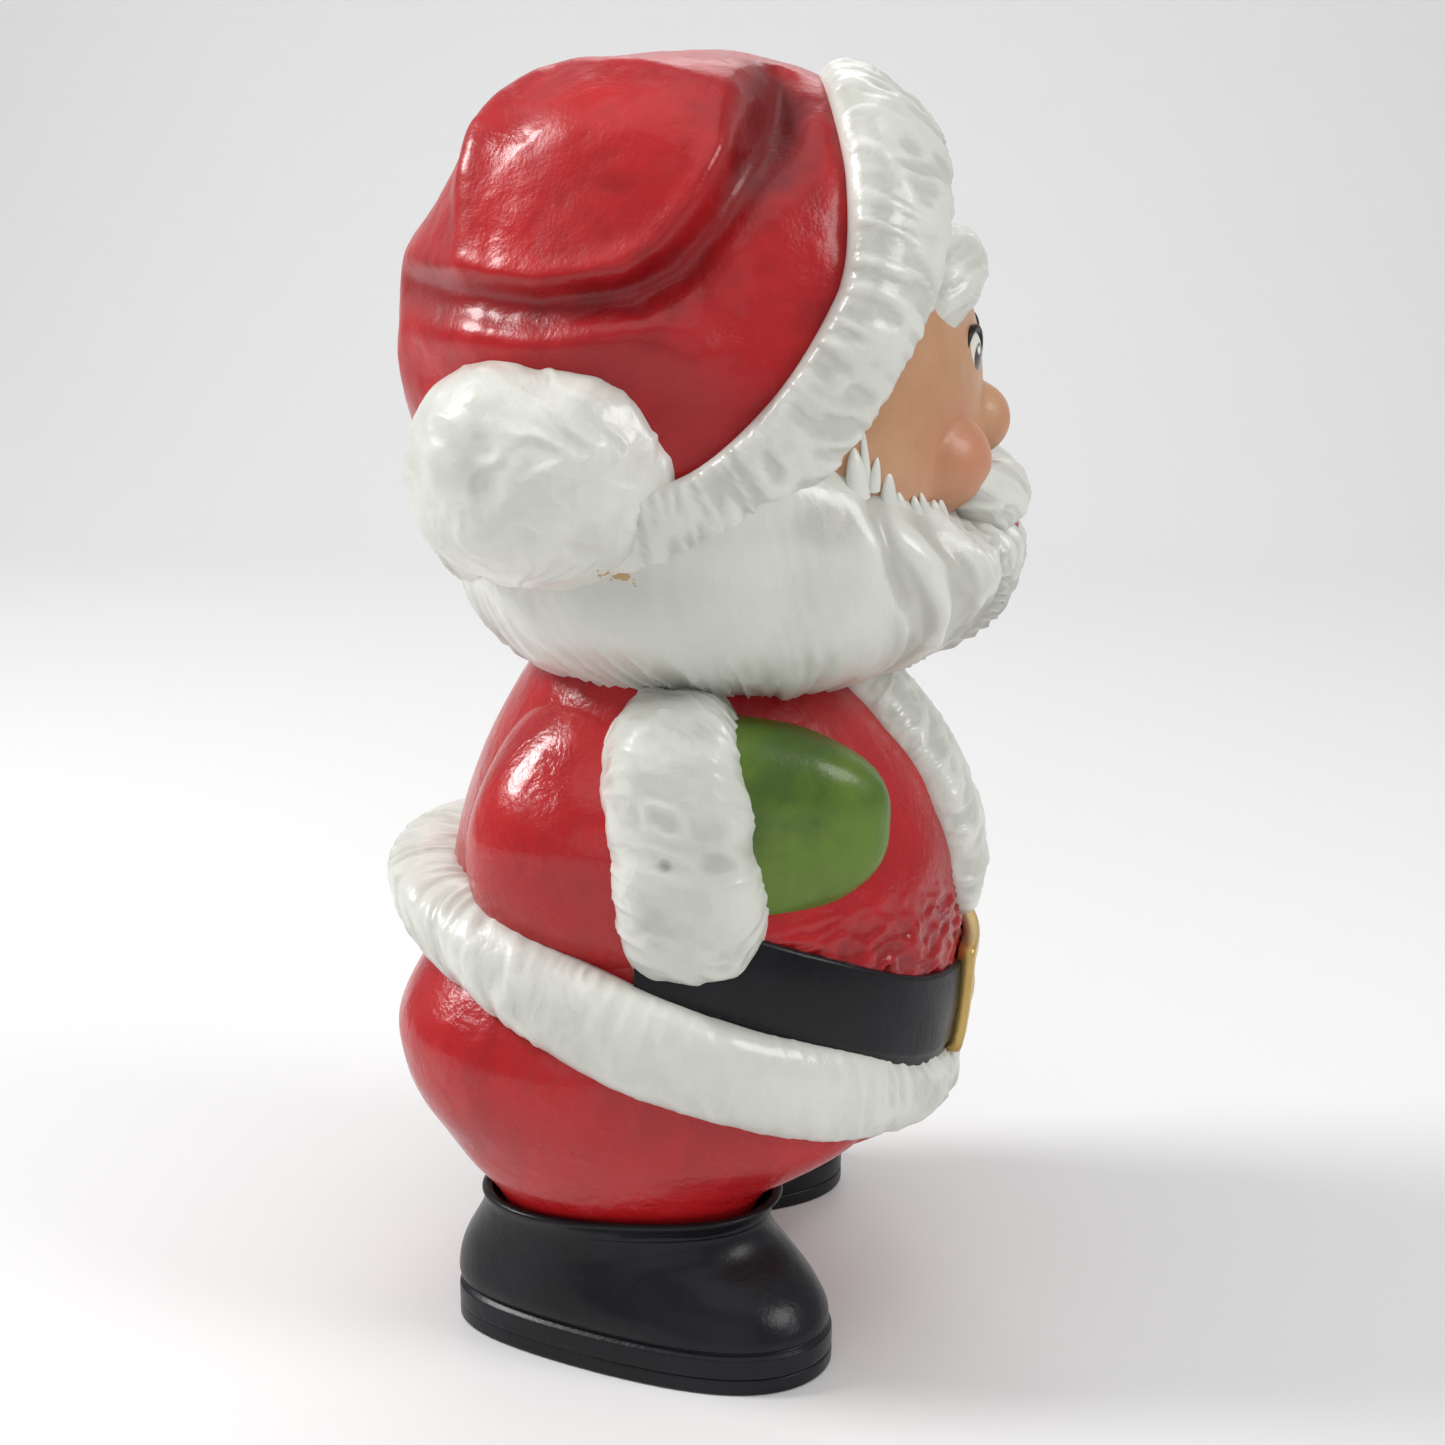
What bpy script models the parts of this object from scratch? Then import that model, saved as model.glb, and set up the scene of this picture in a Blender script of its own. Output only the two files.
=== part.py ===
"""Standing ceramic Santa figurine, slip-cast in one piece, painted and glazed.

Metres, +Z up. The figure faces -Y and its left side is +X. It stands on the
soles of its two boots at z = 0, with the origin in the middle of its outline.
The forms are modelled one by one in millimetres as (left, forward, up), as a
sculptor would press them on, and one Boolean fuses them into a single casting.
"""

import math

import bpy
import numpy as np

MM = 0.001

# Places the middle of the whole outline over the origin
BALANCE_FORWARD = 6.379

# Boots, splayed, measured from the middle line of the figure
SOLE_HEIGHT = 11.0
BOOT_HEIGHT = 45.0
HEEL_APART = 39.0
HEEL_BACK = 55.0
HEEL_RADIUS = 21.5
TOE_APART = 57.3
TOE_FORWARD = 5.5
TOE_RADIUS = 30.6
WELT_DEPTH = 1.8
WELT_HEIGHT = 2.4
RIM_LENGTH = 89.0
RIM_WIDTH = 63.0
RIM_APART = 42.5
RIM_BACK = 23.5
RIM_WALL = 3.6
RIM_DEPTH = 6.0

# Trousers: two overlapping lobes, each from inside a boot up to its half of the seat
LEG_HALF_WIDTH = 49.0
LEG_HALF_DEPTH = 68.0
LEG_ROUNDNESS = 2.4

# Coat, from the seat up to the neck
COAT_BOTTOM = 62.0
COAT_TOP = 216.0
COAT_HALF_WIDTH = 73.0
COAT_FRONT = 71.0
COAT_BACK = 80.0
NECK_HALF_WIDTH = 36.0
NECK_HALF_DEPTH = 32.0

# Fur round the coat's hem, low in front and kicked up behind
HEM_FRONT_HEIGHT = 64.0
HEM_SIDE_HEIGHT = 100.0
HEM_BACK_HEIGHT = 127.0
HEM_FRONT = 63.0
HEM_BACK = 85.0
HEM_SIDE = 77.0
HEM_HALF_BAND = 14.5
HEM_THICKNESS = 9.5
HEM_BACK_FLARE = 5.5

# Belt over the belly and its buckle
BELT_FRONT_HEIGHT = 94.0
BELT_SIDE_HEIGHT = 119.0
BELT_BAND = 25.0
BELT_PROUD = 2.6
BELT_HALF_SWEEP = 90.0
BUCKLE_WIDTH = 38.0
BUCKLE_HEIGHT = 34.0
BUCKLE_BAR = 5.0
BUCKLE_THICKNESS = 3.4

# Fur down the front of the coat
TRIM_HALF_BAND = 21.0
TRIM_PROUD = 9.0
TRIM_TOP = 200.0
TRIM_BOTTOM = 119.0

# Arms, bent with the hands laid forward on the belly
SLEEVE_CENTRE = (45.0, -24.5, 153.0)
SLEEVE_RADII = (31.0, 43.5, 41.0)
SLEEVE_LEAN = 14.0
SHOULDER_LEAN = 15.0
CUFF_CENTRE = (51.5, -5.5, 156.5)
CUFF_RADII = (33.5, 22.5, 41.0)
CUFF_LEAN = -6.0
CUFF_SPREAD = 0.05
MITTEN_CENTRE = (54.0, 16.0, 160.5)
MITTEN_RADII = (21.0, 34.0, 32.5)
MITTEN_TAPER = 0.42
THUMB_RADII = (8.0, 14.0, 8.0)
THUMB_PLACE = (-15.0, 7.0, 7.0)

# Head: hat, face and beard share one middle
HEAD_CENTRE = (0.0, -9.0, 278.0)
HAT_RADII = (71.0, 79.0, 88.0)
HAT_BOXINESS = 2.25
HAT_TUCK = 11.0
BEARD_CENTRE = (0.0, 5.0, 230.0)
BEARD_RADII = (74.5, 81.0, 44.0)
BEARD_DIP = 0.62
BEARD_FULLNESS = 0.08
FACE_CENTRE = (0.0, 8.0, 270.0)
FACE_RADII = (64.0, 66.0, 52.0)
NOSE_RADIUS = 10.5
CHEEK_RADIUS = 15.0
BROW_RADIUS = 7.0
MOUSTACHE_RADIUS = 12.5

# Fur band that frames the face and runs on round the back of the hat
BAND_HALF_WIDTH = 13.0
BAND_TOP_EXTRA = 6.0
BAND_PROUD = 5.6

# Pompom at the hat's tip, hanging behind the right ear
POMPOM_CENTRE = (-56.0, -43.0, 258.0)
POMPOM_RADII = (30.5, 38.0, 31.5)

# The hat's folded tip on its right: the flap's edge as (forward, up) seen from there
FLAP_EDGE = (
    (-95.0, 309.0),
    (-43.0, 306.0),
    (-20.0, 309.5),
    (-10.0, 316.0),
    (-1.0, 327.0),
    (7.0, 341.0),
    (8.0, 355.0),
    (10.0, 375.0),
)
FLAP_RISE = 4.5
FLAP_LEAN = 11.0
VALLEY_DEPTH = 3.0
ROLL_LINE = ((-95.0, 294.0), (-40.0, 296.0), (-18.0, 297.0), (-2.0, 291.0))
ROLL_RISE = 5.0
ROLL_SPREAD = 9.5
POCKET_PLACE = (17.0, 349.0)
POCKET_SIZE = (9.0, 14.0)
POCKET_DEPTH = 9.0

# The ridge along the fold's top as (right, forward, up), with its rise
HAT_CREST = (
    ((20.0, -72.0, 330.0), 1.0),
    ((20.0, -66.0, 345.0), 5.5),
    ((22.0, -57.0, 354.0), 6.5),
    ((27.0, -42.0, 358.0), 3.5),
    ((31.0, -20.0, 360.0), 1.5),
    ((34.0, 0.0, 358.0), 1.0),
    ((36.0, 8.0, 356.0), 0.0),
)
CREST_SPREAD = 6.5

# Swellings behind the fold: (right, forward, up), rise and spread
HAT_BUMPS = (((12.0, -86.0, 307.0), 4.5, 15.0), ((20.0, -86.0, 282.0), 3.0, 13.0))

RIPPLE = 0.9

RED = (0.55, 0.012, 0.016)
WHITE = (0.80, 0.80, 0.76)
BLACK = (0.012, 0.012, 0.014)
GREEN = (0.11, 0.24, 0.028)
SKIN = (0.66, 0.35, 0.19)
GOLD = (0.62, 0.42, 0.10)


def clear_scene():
    for leftover in list(bpy.data.objects):
        bpy.data.objects.remove(leftover, do_unlink=True)


def glaze(name, colour, roughness, metallic=0.0):
    """A painted and glazed finish."""
    material = bpy.data.materials.new(name)
    material.use_nodes = True
    shader = material.node_tree.nodes["Principled BSDF"]
    shader.inputs["Base Color"].default_value = (*colour, 1.0)
    shader.inputs["Roughness"].default_value = roughness
    shader.inputs["Metallic"].default_value = metallic
    return material


def skinned(name, rings, material, closed_loop=False):
    """A closed form through rings of (left, forward, up) points, one ring after another.

    An open run of rings ends in a point at the middle of its first and last ring,
    and a closed loop joins its last ring to its first.
    """
    rings = np.asarray(rings, float)
    count, around = rings.shape[:2]
    points = rings.reshape(-1, 3)
    steps = count if closed_loop else count - 1
    faces = []
    for ring in range(steps):
        here = ring * around
        there = (ring + 1) % count * around
        for i in range(around):
            j = (i + 1) % around
            faces.append((here + i, here + j, there + j, there + i))
    if not closed_loop:
        points = np.vstack([points, rings[0].mean(0), rings[-1].mean(0)])
        first, last = len(points) - 2, len(points) - 1
        end = (count - 1) * around
        for i in range(around):
            j = (i + 1) % around
            faces.append((first, j, i))
            faces.append((last, end + i, end + j))
    place = (points + (0.0, BALANCE_FORWARD, 0.0)) * MM
    place[:, 1] *= -1.0
    mesh = bpy.data.meshes.new(name)
    mesh.from_pydata(place.tolist(), [], faces)
    mesh.materials.append(material)
    mesh.update()
    if signed_volume(mesh) < 0.0:
        mesh.flip_normals()
    mesh.shade_smooth()
    form = bpy.data.objects.new(name, mesh)
    form.hide_render = True
    form.display_type = "WIRE"
    return form


def signed_volume(mesh):
    """The mesh's volume, negative where its faces point inwards."""
    mesh.calc_loop_triangles()
    corners = np.array([[mesh.vertices[v].co[:] for v in t.vertices] for t in mesh.loop_triangles])
    return float(np.linalg.det(corners).sum()) / 6.0


def directions(rows, around):
    """Unit directions over a ball, ring by ring from its bottom to its top."""
    tilt = np.linspace(-math.pi / 2, math.pi / 2, rows + 2)[1:-1, None]
    turn = np.linspace(0.0, 2 * math.pi, around, endpoint=False)[None, :]
    flat = np.cos(tilt)
    parts = (flat * np.sin(turn), flat * np.cos(turn), np.sin(tilt) + 0.0 * turn)
    return np.stack(parts, axis=-1)


def rounded_reach(way, radii, boxiness):
    """How far a rounded block with these radii reaches from its middle along each way."""
    share = np.abs(way) / np.asarray(radii)
    return (share**boxiness).sum(-1) ** (-1.0 / boxiness)


def ball(name, centre, radii, material, rows=10, around=18, boxiness=2.0, shape=None):
    """A rounded block, its points passed through shape(offsets from the middle) where given."""
    way = directions(rows, around)
    offset = way * rounded_reach(way, radii, boxiness)[..., None]
    if shape is not None:
        offset = shape(offset)
    return skinned(name, np.asarray(centre) + offset, material)


def turned(offset, degrees, axis):
    """Offsets turned about the left (0), forward (1) or up (2) axis."""
    angle = math.radians(degrees)
    a, b = [i for i in range(3) if i != axis]
    out = np.array(offset, float)
    out[..., a] = offset[..., a] * math.cos(angle) - offset[..., b] * math.sin(angle)
    out[..., b] = offset[..., a] * math.sin(angle) + offset[..., b] * math.cos(angle)
    return out


def mirrored(rings):
    """The same rings on the figure's other side."""
    return np.asarray(rings) * np.array((-1.0, 1.0, 1.0))


def eased(stations, values, at):
    """Values between stations, joined by a smooth curve through them."""
    stations = np.asarray(stations, float)
    values = np.asarray(values, float)
    slope = np.gradient(values, stations, axis=0)
    at = np.clip(at, stations[0], stations[-1])
    k = np.clip(np.searchsorted(stations, at, side="right") - 1, 0, len(stations) - 2)
    span = stations[k + 1] - stations[k]
    t = (at - stations[k]) / span
    if values.ndim > 1:
        t, span = t[..., None], span[..., None]
    h00 = (1 + 2 * t) * (1 - t) ** 2
    h10 = t * (1 - t) ** 2
    h01 = t * t * (3 - 2 * t)
    h11 = t * t * (t - 1)
    return h00 * values[k] + h10 * span * slope[k] + h01 * values[k + 1] + h11 * span * slope[k + 1]


def oval(forward_middle, half_depth, half_width, up, around, roundness=2.2):
    """One level ring: a rounded oval about (0, forward_middle) at the height up."""
    turn = np.linspace(0.0, 2 * math.pi, around, endpoint=False)
    way = np.stack((np.sin(turn), np.cos(turn)), axis=-1)
    share = np.abs(way) / np.array((half_width, half_depth))
    reach = (share**roundness).sum(-1) ** (-1.0 / roundness)
    ring = way * reach[:, None]
    height = np.full(around, up)
    return np.stack((ring[:, 0], forward_middle + ring[:, 1], height), axis=-1)


# Coat and seat as functions of height, which the belt, trim and hem follow


def coat_level(up):
    """Forward middle, half depth and half width of the coat at a height."""
    share = (up - COAT_BOTTOM) / (COAT_TOP - COAT_BOTTOM)
    stations = (0.0, 0.09, 0.27, 0.45, 0.57, 0.70, 0.80, 0.90, 1.0)
    swell_front = (0.86, 0.94, 1.0, 1.0, 0.95, 0.81, 0.64, 0.46, 0.24)
    swell_back = (0.86, 0.94, 1.0, 1.0, 0.96, 0.87, 0.77, 0.64, 0.48)
    swell_side = (0.88, 0.96, 1.0, 0.99, 0.94, 0.86, 0.76, 0.63, 0.49)
    front = COAT_FRONT * float(eased(stations, swell_front, share))
    back = COAT_BACK * float(eased(stations, swell_back, share))
    side = COAT_HALF_WIDTH * float(eased(stations, swell_side, share))
    depth = max((front + back) / 2, NECK_HALF_DEPTH)
    return (front - back) / 2, depth, max(side, NECK_HALF_WIDTH)


def coat_point(turn, up, proud=0.0):
    """A point on the coat at an angle from straight ahead, stood proud of its surface."""
    middle, depth, width = coat_level(up)
    way = np.array((math.sin(turn), math.cos(turn)))
    reach = float(((np.abs(way) / np.array((width, depth))) ** 2.2).sum() ** (-1 / 2.2))
    flat = way * (reach + proud)
    return np.array((flat[0], middle + flat[1], up))


def coat(material, levels=14, around=32):
    rings = []
    for up in np.linspace(COAT_BOTTOM, COAT_TOP, levels):
        rings.append(oval(*coat_level(up), up, around))
    return skinned("coat", rings, material)


def trousers(material, around=36):
    """Two overlapping lobes, each from inside a boot up to its half of the seat."""
    rim, back = BOOT_HEIGHT, -RIM_BACK
    width, depth = RIM_WIDTH / 2 - RIM_WALL, RIM_LENGTH / 2 - RIM_WALL
    # (height, middle's offset, half width, middle's forward place, half depth)
    levels = (
        (rim - RIM_DEPTH - 3.0, RIM_APART, width - 3.4, back, depth - 4.4),
        (rim, RIM_APART, width - 2.4, back, depth - 2.4),
        (rim + 4.5, RIM_APART - 0.3, width - 0.3, back + 0.5, depth + 1.2),
        (rim + 11.0, RIM_APART - 2.0, 0.67 * LEG_HALF_WIDTH, -20.5, 0.75 * LEG_HALF_DEPTH),
        (rim + 20.0, RIM_APART - 4.5, 0.81 * LEG_HALF_WIDTH, -17.0, 0.905 * LEG_HALF_DEPTH),
        (rim + 30.0, RIM_APART - 7.5, 0.925 * LEG_HALF_WIDTH, -19.5, 0.985 * LEG_HALF_DEPTH),
        (rim + 41.0, RIM_APART - 10.5, LEG_HALF_WIDTH, -23.0, LEG_HALF_DEPTH),
        (rim + 53.0, RIM_APART - 12.0, 0.98 * LEG_HALF_WIDTH, -24.0, LEG_HALF_DEPTH),
        (rim + 67.0, RIM_APART - 15.5, 0.86 * LEG_HALF_WIDTH, -21.0, 0.94 * LEG_HALF_DEPTH),
        (rim + 83.0, RIM_APART - 20.0, 0.70 * LEG_HALF_WIDTH, -17.0, 0.81 * LEG_HALF_DEPTH),
    )
    lobe = []
    for up, apart, width, ahead, depth in levels:
        ring = oval(ahead, depth, width, up, around, LEG_ROUNDNESS)
        ring[:, 0] += apart
        lobe.append(ring)
    return [skinned("trouser_left", lobe, material), skinned("trouser_right", mirrored(lobe), material)]


def sole_ring(heel, toe, up, around, squareness=1.6):
    """An egg-shaped boot outline round a heel circle and a toe circle, (left, forward, radius)."""
    heel, toe = np.asarray(heel), np.asarray(toe)
    along = (toe - heel)[:2]
    along = along / np.linalg.norm(along)
    turn = np.linspace(0.0, 2 * math.pi, around, endpoint=False)
    way = np.stack((np.sin(turn), np.cos(turn)), axis=-1)
    blend = 0.5 + 0.5 * np.tanh(squareness * (way @ along)) / math.tanh(squareness)
    mix = heel + (toe - heel) * blend[:, None]
    flat = mix[:, :2] + way * mix[:, 2:]
    return np.column_stack((flat, np.full(around, up)))


def boot_levels():
    """(height, heel circle, toe circle) up the boot, each circle as (left, forward, radius)."""
    heel = np.array((HEEL_APART, -HEEL_BACK, HEEL_RADIUS))
    toe = np.array((TOE_APART, TOE_FORWARD, TOE_RADIUS))
    rim_half = RIM_WIDTH / 2
    rim_heel = np.array((RIM_APART, -RIM_BACK - RIM_LENGTH / 2 + rim_half - 3.0, rim_half - 3.0))
    rim_toe = np.array((RIM_APART + 1.0, -RIM_BACK + RIM_LENGTH / 2 - rim_half + 2.0, rim_half - 2.0))
    groove = np.array((0.0, 0.0, WELT_DEPTH))
    edge = np.array((0.0, 0.0, 0.9))
    shaft = BOOT_HEIGHT - SOLE_HEIGHT - WELT_HEIGHT
    over = SOLE_HEIGHT + WELT_HEIGHT
    levels = [
        (0.0, heel - edge, toe - edge),
        (1.0, heel, toe),
        (SOLE_HEIGHT - 0.8, heel, toe),
        (SOLE_HEIGHT, heel - edge, toe - edge),
        (SOLE_HEIGHT + WELT_HEIGHT * 0.45, heel - groove, toe - groove),
        (over, heel - edge / 2, toe - edge),
    ]
    # (share of the shaft's height, share of the way to the rim and swell at heel, then at toe)
    upper = (
        (0.10, 0.05, 0.3, 0.10, -0.4),
        (0.28, 0.14, 0.1, 0.30, -0.9),
        (0.46, 0.34, -0.3, 0.55, -1.5),
        (0.62, 0.60, -0.8, 0.80, -2.6),
        (0.78, 0.84, -1.1, 0.97, -3.7),
        (0.89, 0.96, -0.9, 1.0, -2.9),
        (1.0, 1.0, 0.0, 1.0, 0.0),
    )
    for share, heel_rim, heel_swell, toe_rim, toe_swell in upper:
        lower_heel = heel + (rim_heel - heel) * heel_rim + (0.0, 0.0, heel_swell)
        lower_toe = toe + (rim_toe - toe) * toe_rim + (0.0, 0.0, toe_swell)
        levels.append((over + share * shaft, lower_heel, lower_toe))
    return levels, rim_heel, rim_toe


def boots(material, around=30):
    forms = []
    levels, rim_heel, rim_toe = boot_levels()
    wall = np.array((0.0, 0.0, RIM_WALL))
    rings = [sole_ring(heel, toe, up, around) for up, heel, toe in levels]
    rings.append(sole_ring(rim_heel - wall, rim_toe - wall, BOOT_HEIGHT, around))
    rings.append(sole_ring(rim_heel - wall, rim_toe - wall, BOOT_HEIGHT - RIM_DEPTH, around))
    forms.append(skinned("boot_left", rings, material))
    forms.append(skinned("boot_right", mirrored(rings), material))
    return forms


def fur_ring(middles, outs, ups, half_band, thickness, around, ripple=RIPPLE, boxiness=2.4):
    """Rings of a fur roll along its middle line: half_band along ups and thickness along outs.

    Every other ring is a little fatter, for the carved locks.
    """
    turn = np.linspace(0.0, 2 * math.pi, around, endpoint=False)
    way = np.stack((np.cos(turn), np.sin(turn)), axis=-1)
    reach = (np.abs(way) ** boxiness).sum(-1) ** (-1.0 / boxiness)
    rings = []
    for k, (middle, out, up, band, thick) in enumerate(zip(middles, outs, ups, half_band, thickness)):
        swell = ripple if k % 2 else -ripple
        across = (band + swell * 0.5) * reach * way[:, 1]
        proud = (thick + swell) * reach * way[:, 0]
        rings.append(middle + out * proud[:, None] + up * across[:, None])
    return rings


def unit(vectors):
    vectors = np.asarray(vectors, float)
    return vectors / np.linalg.norm(vectors, axis=-1, keepdims=True)


def loop_frames(points, inside):
    """Outward and across directions along a closed line about a middle point."""
    points = np.asarray(points)
    along = unit(np.roll(points, -1, axis=0) - np.roll(points, 1, axis=0))
    outward = points - np.asarray(inside)
    outward = unit(outward - along * (outward * along).sum(-1, keepdims=True))
    return outward, np.cross(along, outward)


def hem(material, count=44, around=12):
    """The fur roll round the coat, on a line that rises from the belly to the back."""
    turn = np.linspace(0.0, 2 * math.pi, count, endpoint=False)
    fold = np.degrees(np.abs((turn + math.pi) % (2 * math.pi) - math.pi))
    low, back_up = HEM_FRONT_HEIGHT, HEM_BACK_HEIGHT
    heights = (low, low + 7.5, low + 19.5, HEM_SIDE_HEIGHT, back_up - 4.5, back_up)
    up = eased((0.0, 30.0, 60.0, 90.0, 138.0, 180.0), heights, fold)
    behind = np.clip((fold - 100.0) / 60.0, 0.0, 1.0)
    lead, depth = (HEM_FRONT - HEM_BACK) / 2, (HEM_FRONT + HEM_BACK) / 2
    middle = np.stack((HEM_SIDE * np.sin(turn), lead + depth * np.cos(turn), up), axis=-1)
    outward, across = loop_frames(middle, (0.0, lead, HEM_SIDE_HEIGHT - 6.0))
    level = outward.copy()
    level[:, 2] = 0.35 * behind
    level = unit(level)
    lift = unit(np.cross(np.cross(level, across), level))
    thickness = HEM_THICKNESS + HEM_BACK_FLARE * behind
    band = HEM_HALF_BAND * (0.88 + 0.12 * smooth_step(20.0, 70.0, fold))
    rings = fur_ring(middle, level, lift, band, thickness, around)
    return skinned("hem_fur", rings, material, closed_loop=True)


def belt_height(degrees):
    """Middle height of the belt at an angle from straight ahead."""
    fold = abs(degrees)
    rise = float(eased((0.0, 35.0, 62.0, 85.0, 112.0), (0.0, 0.25, 0.79, 1.2, 1.5), fold))
    return BELT_FRONT_HEIGHT + rise * (BELT_SIDE_HEIGHT - BELT_FRONT_HEIGHT)


def belt(material, count=25):
    """A flat strap over the belly whose ends run under the arms."""
    edge = BELT_PROUD - 0.7
    section = (
        (-0.64, -9.0),
        (-0.64, 1.4),
        (-0.5, edge),
        (-0.44, BELT_PROUD),
        (0.44, BELT_PROUD),
        (0.5, edge),
        (0.5, -9.0),
    )
    rings = []
    for degrees in np.linspace(-BELT_HALF_SWEEP, BELT_HALF_SWEEP, count):
        turn = math.radians(degrees)
        middle = belt_height(degrees)
        ring = []
        for share, proud in section:
            ring.append(coat_point(turn, middle + share * BELT_BAND, proud))
        rings.append(ring)
    return skinned("belt", rings, material)


def buckle(material):
    """A square frame on the belt, bent to the belly, with its tongue."""
    forms = []
    frame = []
    half_w, half_h = BUCKLE_WIDTH / 2, BUCKLE_HEIGHT / 2
    lift = BELT_PROUD + BUCKLE_THICKNESS
    foot, shoulder = BELT_PROUD - 1.5, lift - 0.8
    outer = ((0.0, foot), (0.0, shoulder), (1.0, lift))
    section = outer + tuple((BUCKLE_BAR - inset, proud) for inset, proud in reversed(outer))
    per_side = 5
    corners = ((-1, -1), (1, -1), (1, 1), (-1, 1))
    middle, depth, _ = coat_level(BELT_FRONT_HEIGHT)
    for k, corner in enumerate(corners):
        following = corners[(k + 1) % 4]
        for step in range(per_side):
            t = step / per_side
            across = corner[0] + (following[0] - corner[0]) * t
            height = corner[1] + (following[1] - corner[1]) * t
            ring = []
            for inset, proud in section:
                x = across * (half_w - inset)
                up = BELT_FRONT_HEIGHT + 1.5 + height * (half_h - inset)
                ring.append(coat_point(math.atan2(x, depth + middle), up, proud))
            frame.append(ring)
    forms.append(skinned("buckle_frame", frame, material, closed_loop=True))
    tongue = []
    for x in np.linspace(-1.0, half_w - 0.6, 7):
        ring = []
        for up, proud in ((-2.2, foot), (-1.8, shoulder), (0.0, lift), (1.8, shoulder), (2.2, foot)):
            ring.append(coat_point(math.atan2(x, depth + middle), BELT_FRONT_HEIGHT + 1.5 + up, proud))
        tongue.append(ring)
    forms.append(skinned("buckle_tongue", tongue, material))
    return forms


def front_trim(material, count=15, around=10):
    """The fur down the middle of the coat, thinning out above the belt."""
    middles, ups = [], []
    heights = np.linspace(TRIM_TOP, TRIM_BOTTOM, count)
    for up in heights:
        middles.append(coat_point(0.0, up, 0.0))
    middles = np.array(middles)
    along = unit(np.gradient(middles, axis=0))
    across = np.tile((1.0, 0.0, 0.0), (count, 1))
    outward = unit(np.cross(across, along))
    outward *= np.sign(outward[:, 1:2])
    fade = np.clip((heights - TRIM_BOTTOM) / 14.0, 0.0, 1.0) ** 0.5
    band = TRIM_HALF_BAND * (0.35 + 0.65 * fade)
    proud = TRIM_PROUD * (0.25 + 0.75 * fade)
    rings = fur_ring(middles, outward, across, band, proud, around)
    return skinned("front_fur", rings, material)


def arm_shapes():
    """Point rings of the left arm: sleeve, cuff, mitten and thumb."""
    way = directions(11, 20)
    sleeve = turned(way * rounded_reach(way, SLEEVE_RADII, 2.45)[..., None], -SLEEVE_LEAN, 0)
    sleeve[..., 0] -= SHOULDER_LEAN * smooth_step(2.0, 40.0, sleeve[..., 2])
    sleeve = turned(sleeve, -6.0, 2) + SLEEVE_CENTRE

    way = directions(13, 22)
    cuff = way * rounded_reach(way, CUFF_RADII, 3.2)[..., None]
    angle = np.arctan2(way[..., 2], way[..., 0])
    cuff *= (1.0 + RIPPLE / CUFF_RADII[2] * np.cos(11.0 * angle))[..., None]
    cuff[..., 1] *= 1.0 - CUFF_SPREAD * cuff[..., 2] / CUFF_RADII[2]
    cuff = turned(cuff, -CUFF_LEAN, 0) + CUFF_CENTRE

    way = directions(9, 18)
    mitten = way * rounded_reach(way, MITTEN_RADII, 3.0)[..., None]
    slim = (0.5 + 0.5 * np.clip(mitten[..., 1] / MITTEN_RADII[1], -1.0, 1.0)) ** 1.6
    mitten[..., 0] *= 1.0 - 0.7 * MITTEN_TAPER * slim
    mitten[..., 2] *= 1.0 - MITTEN_TAPER * slim
    mitten = turned(mitten, 8.0, 2) + MITTEN_CENTRE

    way = directions(6, 12)
    thumb = turned(way * rounded_reach(way, THUMB_RADII, 2.0)[..., None], 16.0, 2)
    thumb = thumb + np.asarray(MITTEN_CENTRE) + THUMB_PLACE
    return sleeve, cuff, mitten, thumb


def arms(red, white, green):
    forms = []
    names = ("sleeve", "cuff_fur", "mitten", "thumb")
    for name, rings, material in zip(names, arm_shapes(), (red, white, green, green)):
        forms.append(skinned(name + "_left", rings, material))
        forms.append(skinned(name + "_right", mirrored(rings), material))
    return forms


def smooth_step(low, high, value):
    t = np.clip((value - low) / (high - low), 0.0, 1.0)
    return t * t * (3.0 - 2.0 * t)


def beside_line(forward, up, line):
    """Distance to a line of points in the side view, positive on its upper or rear side."""
    nearest = np.full(np.shape(forward), 1e9)
    signed = np.zeros(np.shape(forward))
    for (f, z), (next_f, next_z) in zip(line[:-1], line[1:]):
        df, dz = next_f - f, next_z - z
        share = np.clip(((forward - f) * df + (up - z) * dz) / (df * df + dz * dz), 0.0, 1.0)
        away = np.hypot(forward - f - share * df, up - z - share * dz)
        side = df * (up - z) - dz * (forward - f)
        signed = np.where(away < nearest, np.where(side < 0.0, -away, away), signed)
        nearest = np.minimum(nearest, away)
    return signed


def hat_lift(place):
    """How far the fold's top ridge and the swellings behind it stand up from the crown."""
    seen = place * np.array((-1.0, 1.0, 1.0))
    nearest, height = np.full(place.shape[:-1], 1e9), np.zeros(place.shape[:-1])
    for (start, low), (end, high) in zip(HAT_CREST[:-1], HAT_CREST[1:]):
        step = np.asarray(end) - np.asarray(start)
        share = np.clip(((seen - start) @ step) / (step @ step), 0.0, 1.0)
        away = np.linalg.norm(seen - start - share[..., None] * step, axis=-1)
        height = np.where(away < nearest, low + (high - low) * share, height)
        nearest = np.minimum(nearest, away)
    rise = height * np.exp(-(np.sqrt(nearest**2 + 4.0) - 2.0) / CREST_SPREAD)
    for spot, high, spread in HAT_BUMPS:
        rise = rise + high * np.exp(-((np.linalg.norm(seen - np.asarray(spot), axis=-1) / spread) ** 2))
    return rise


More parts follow.
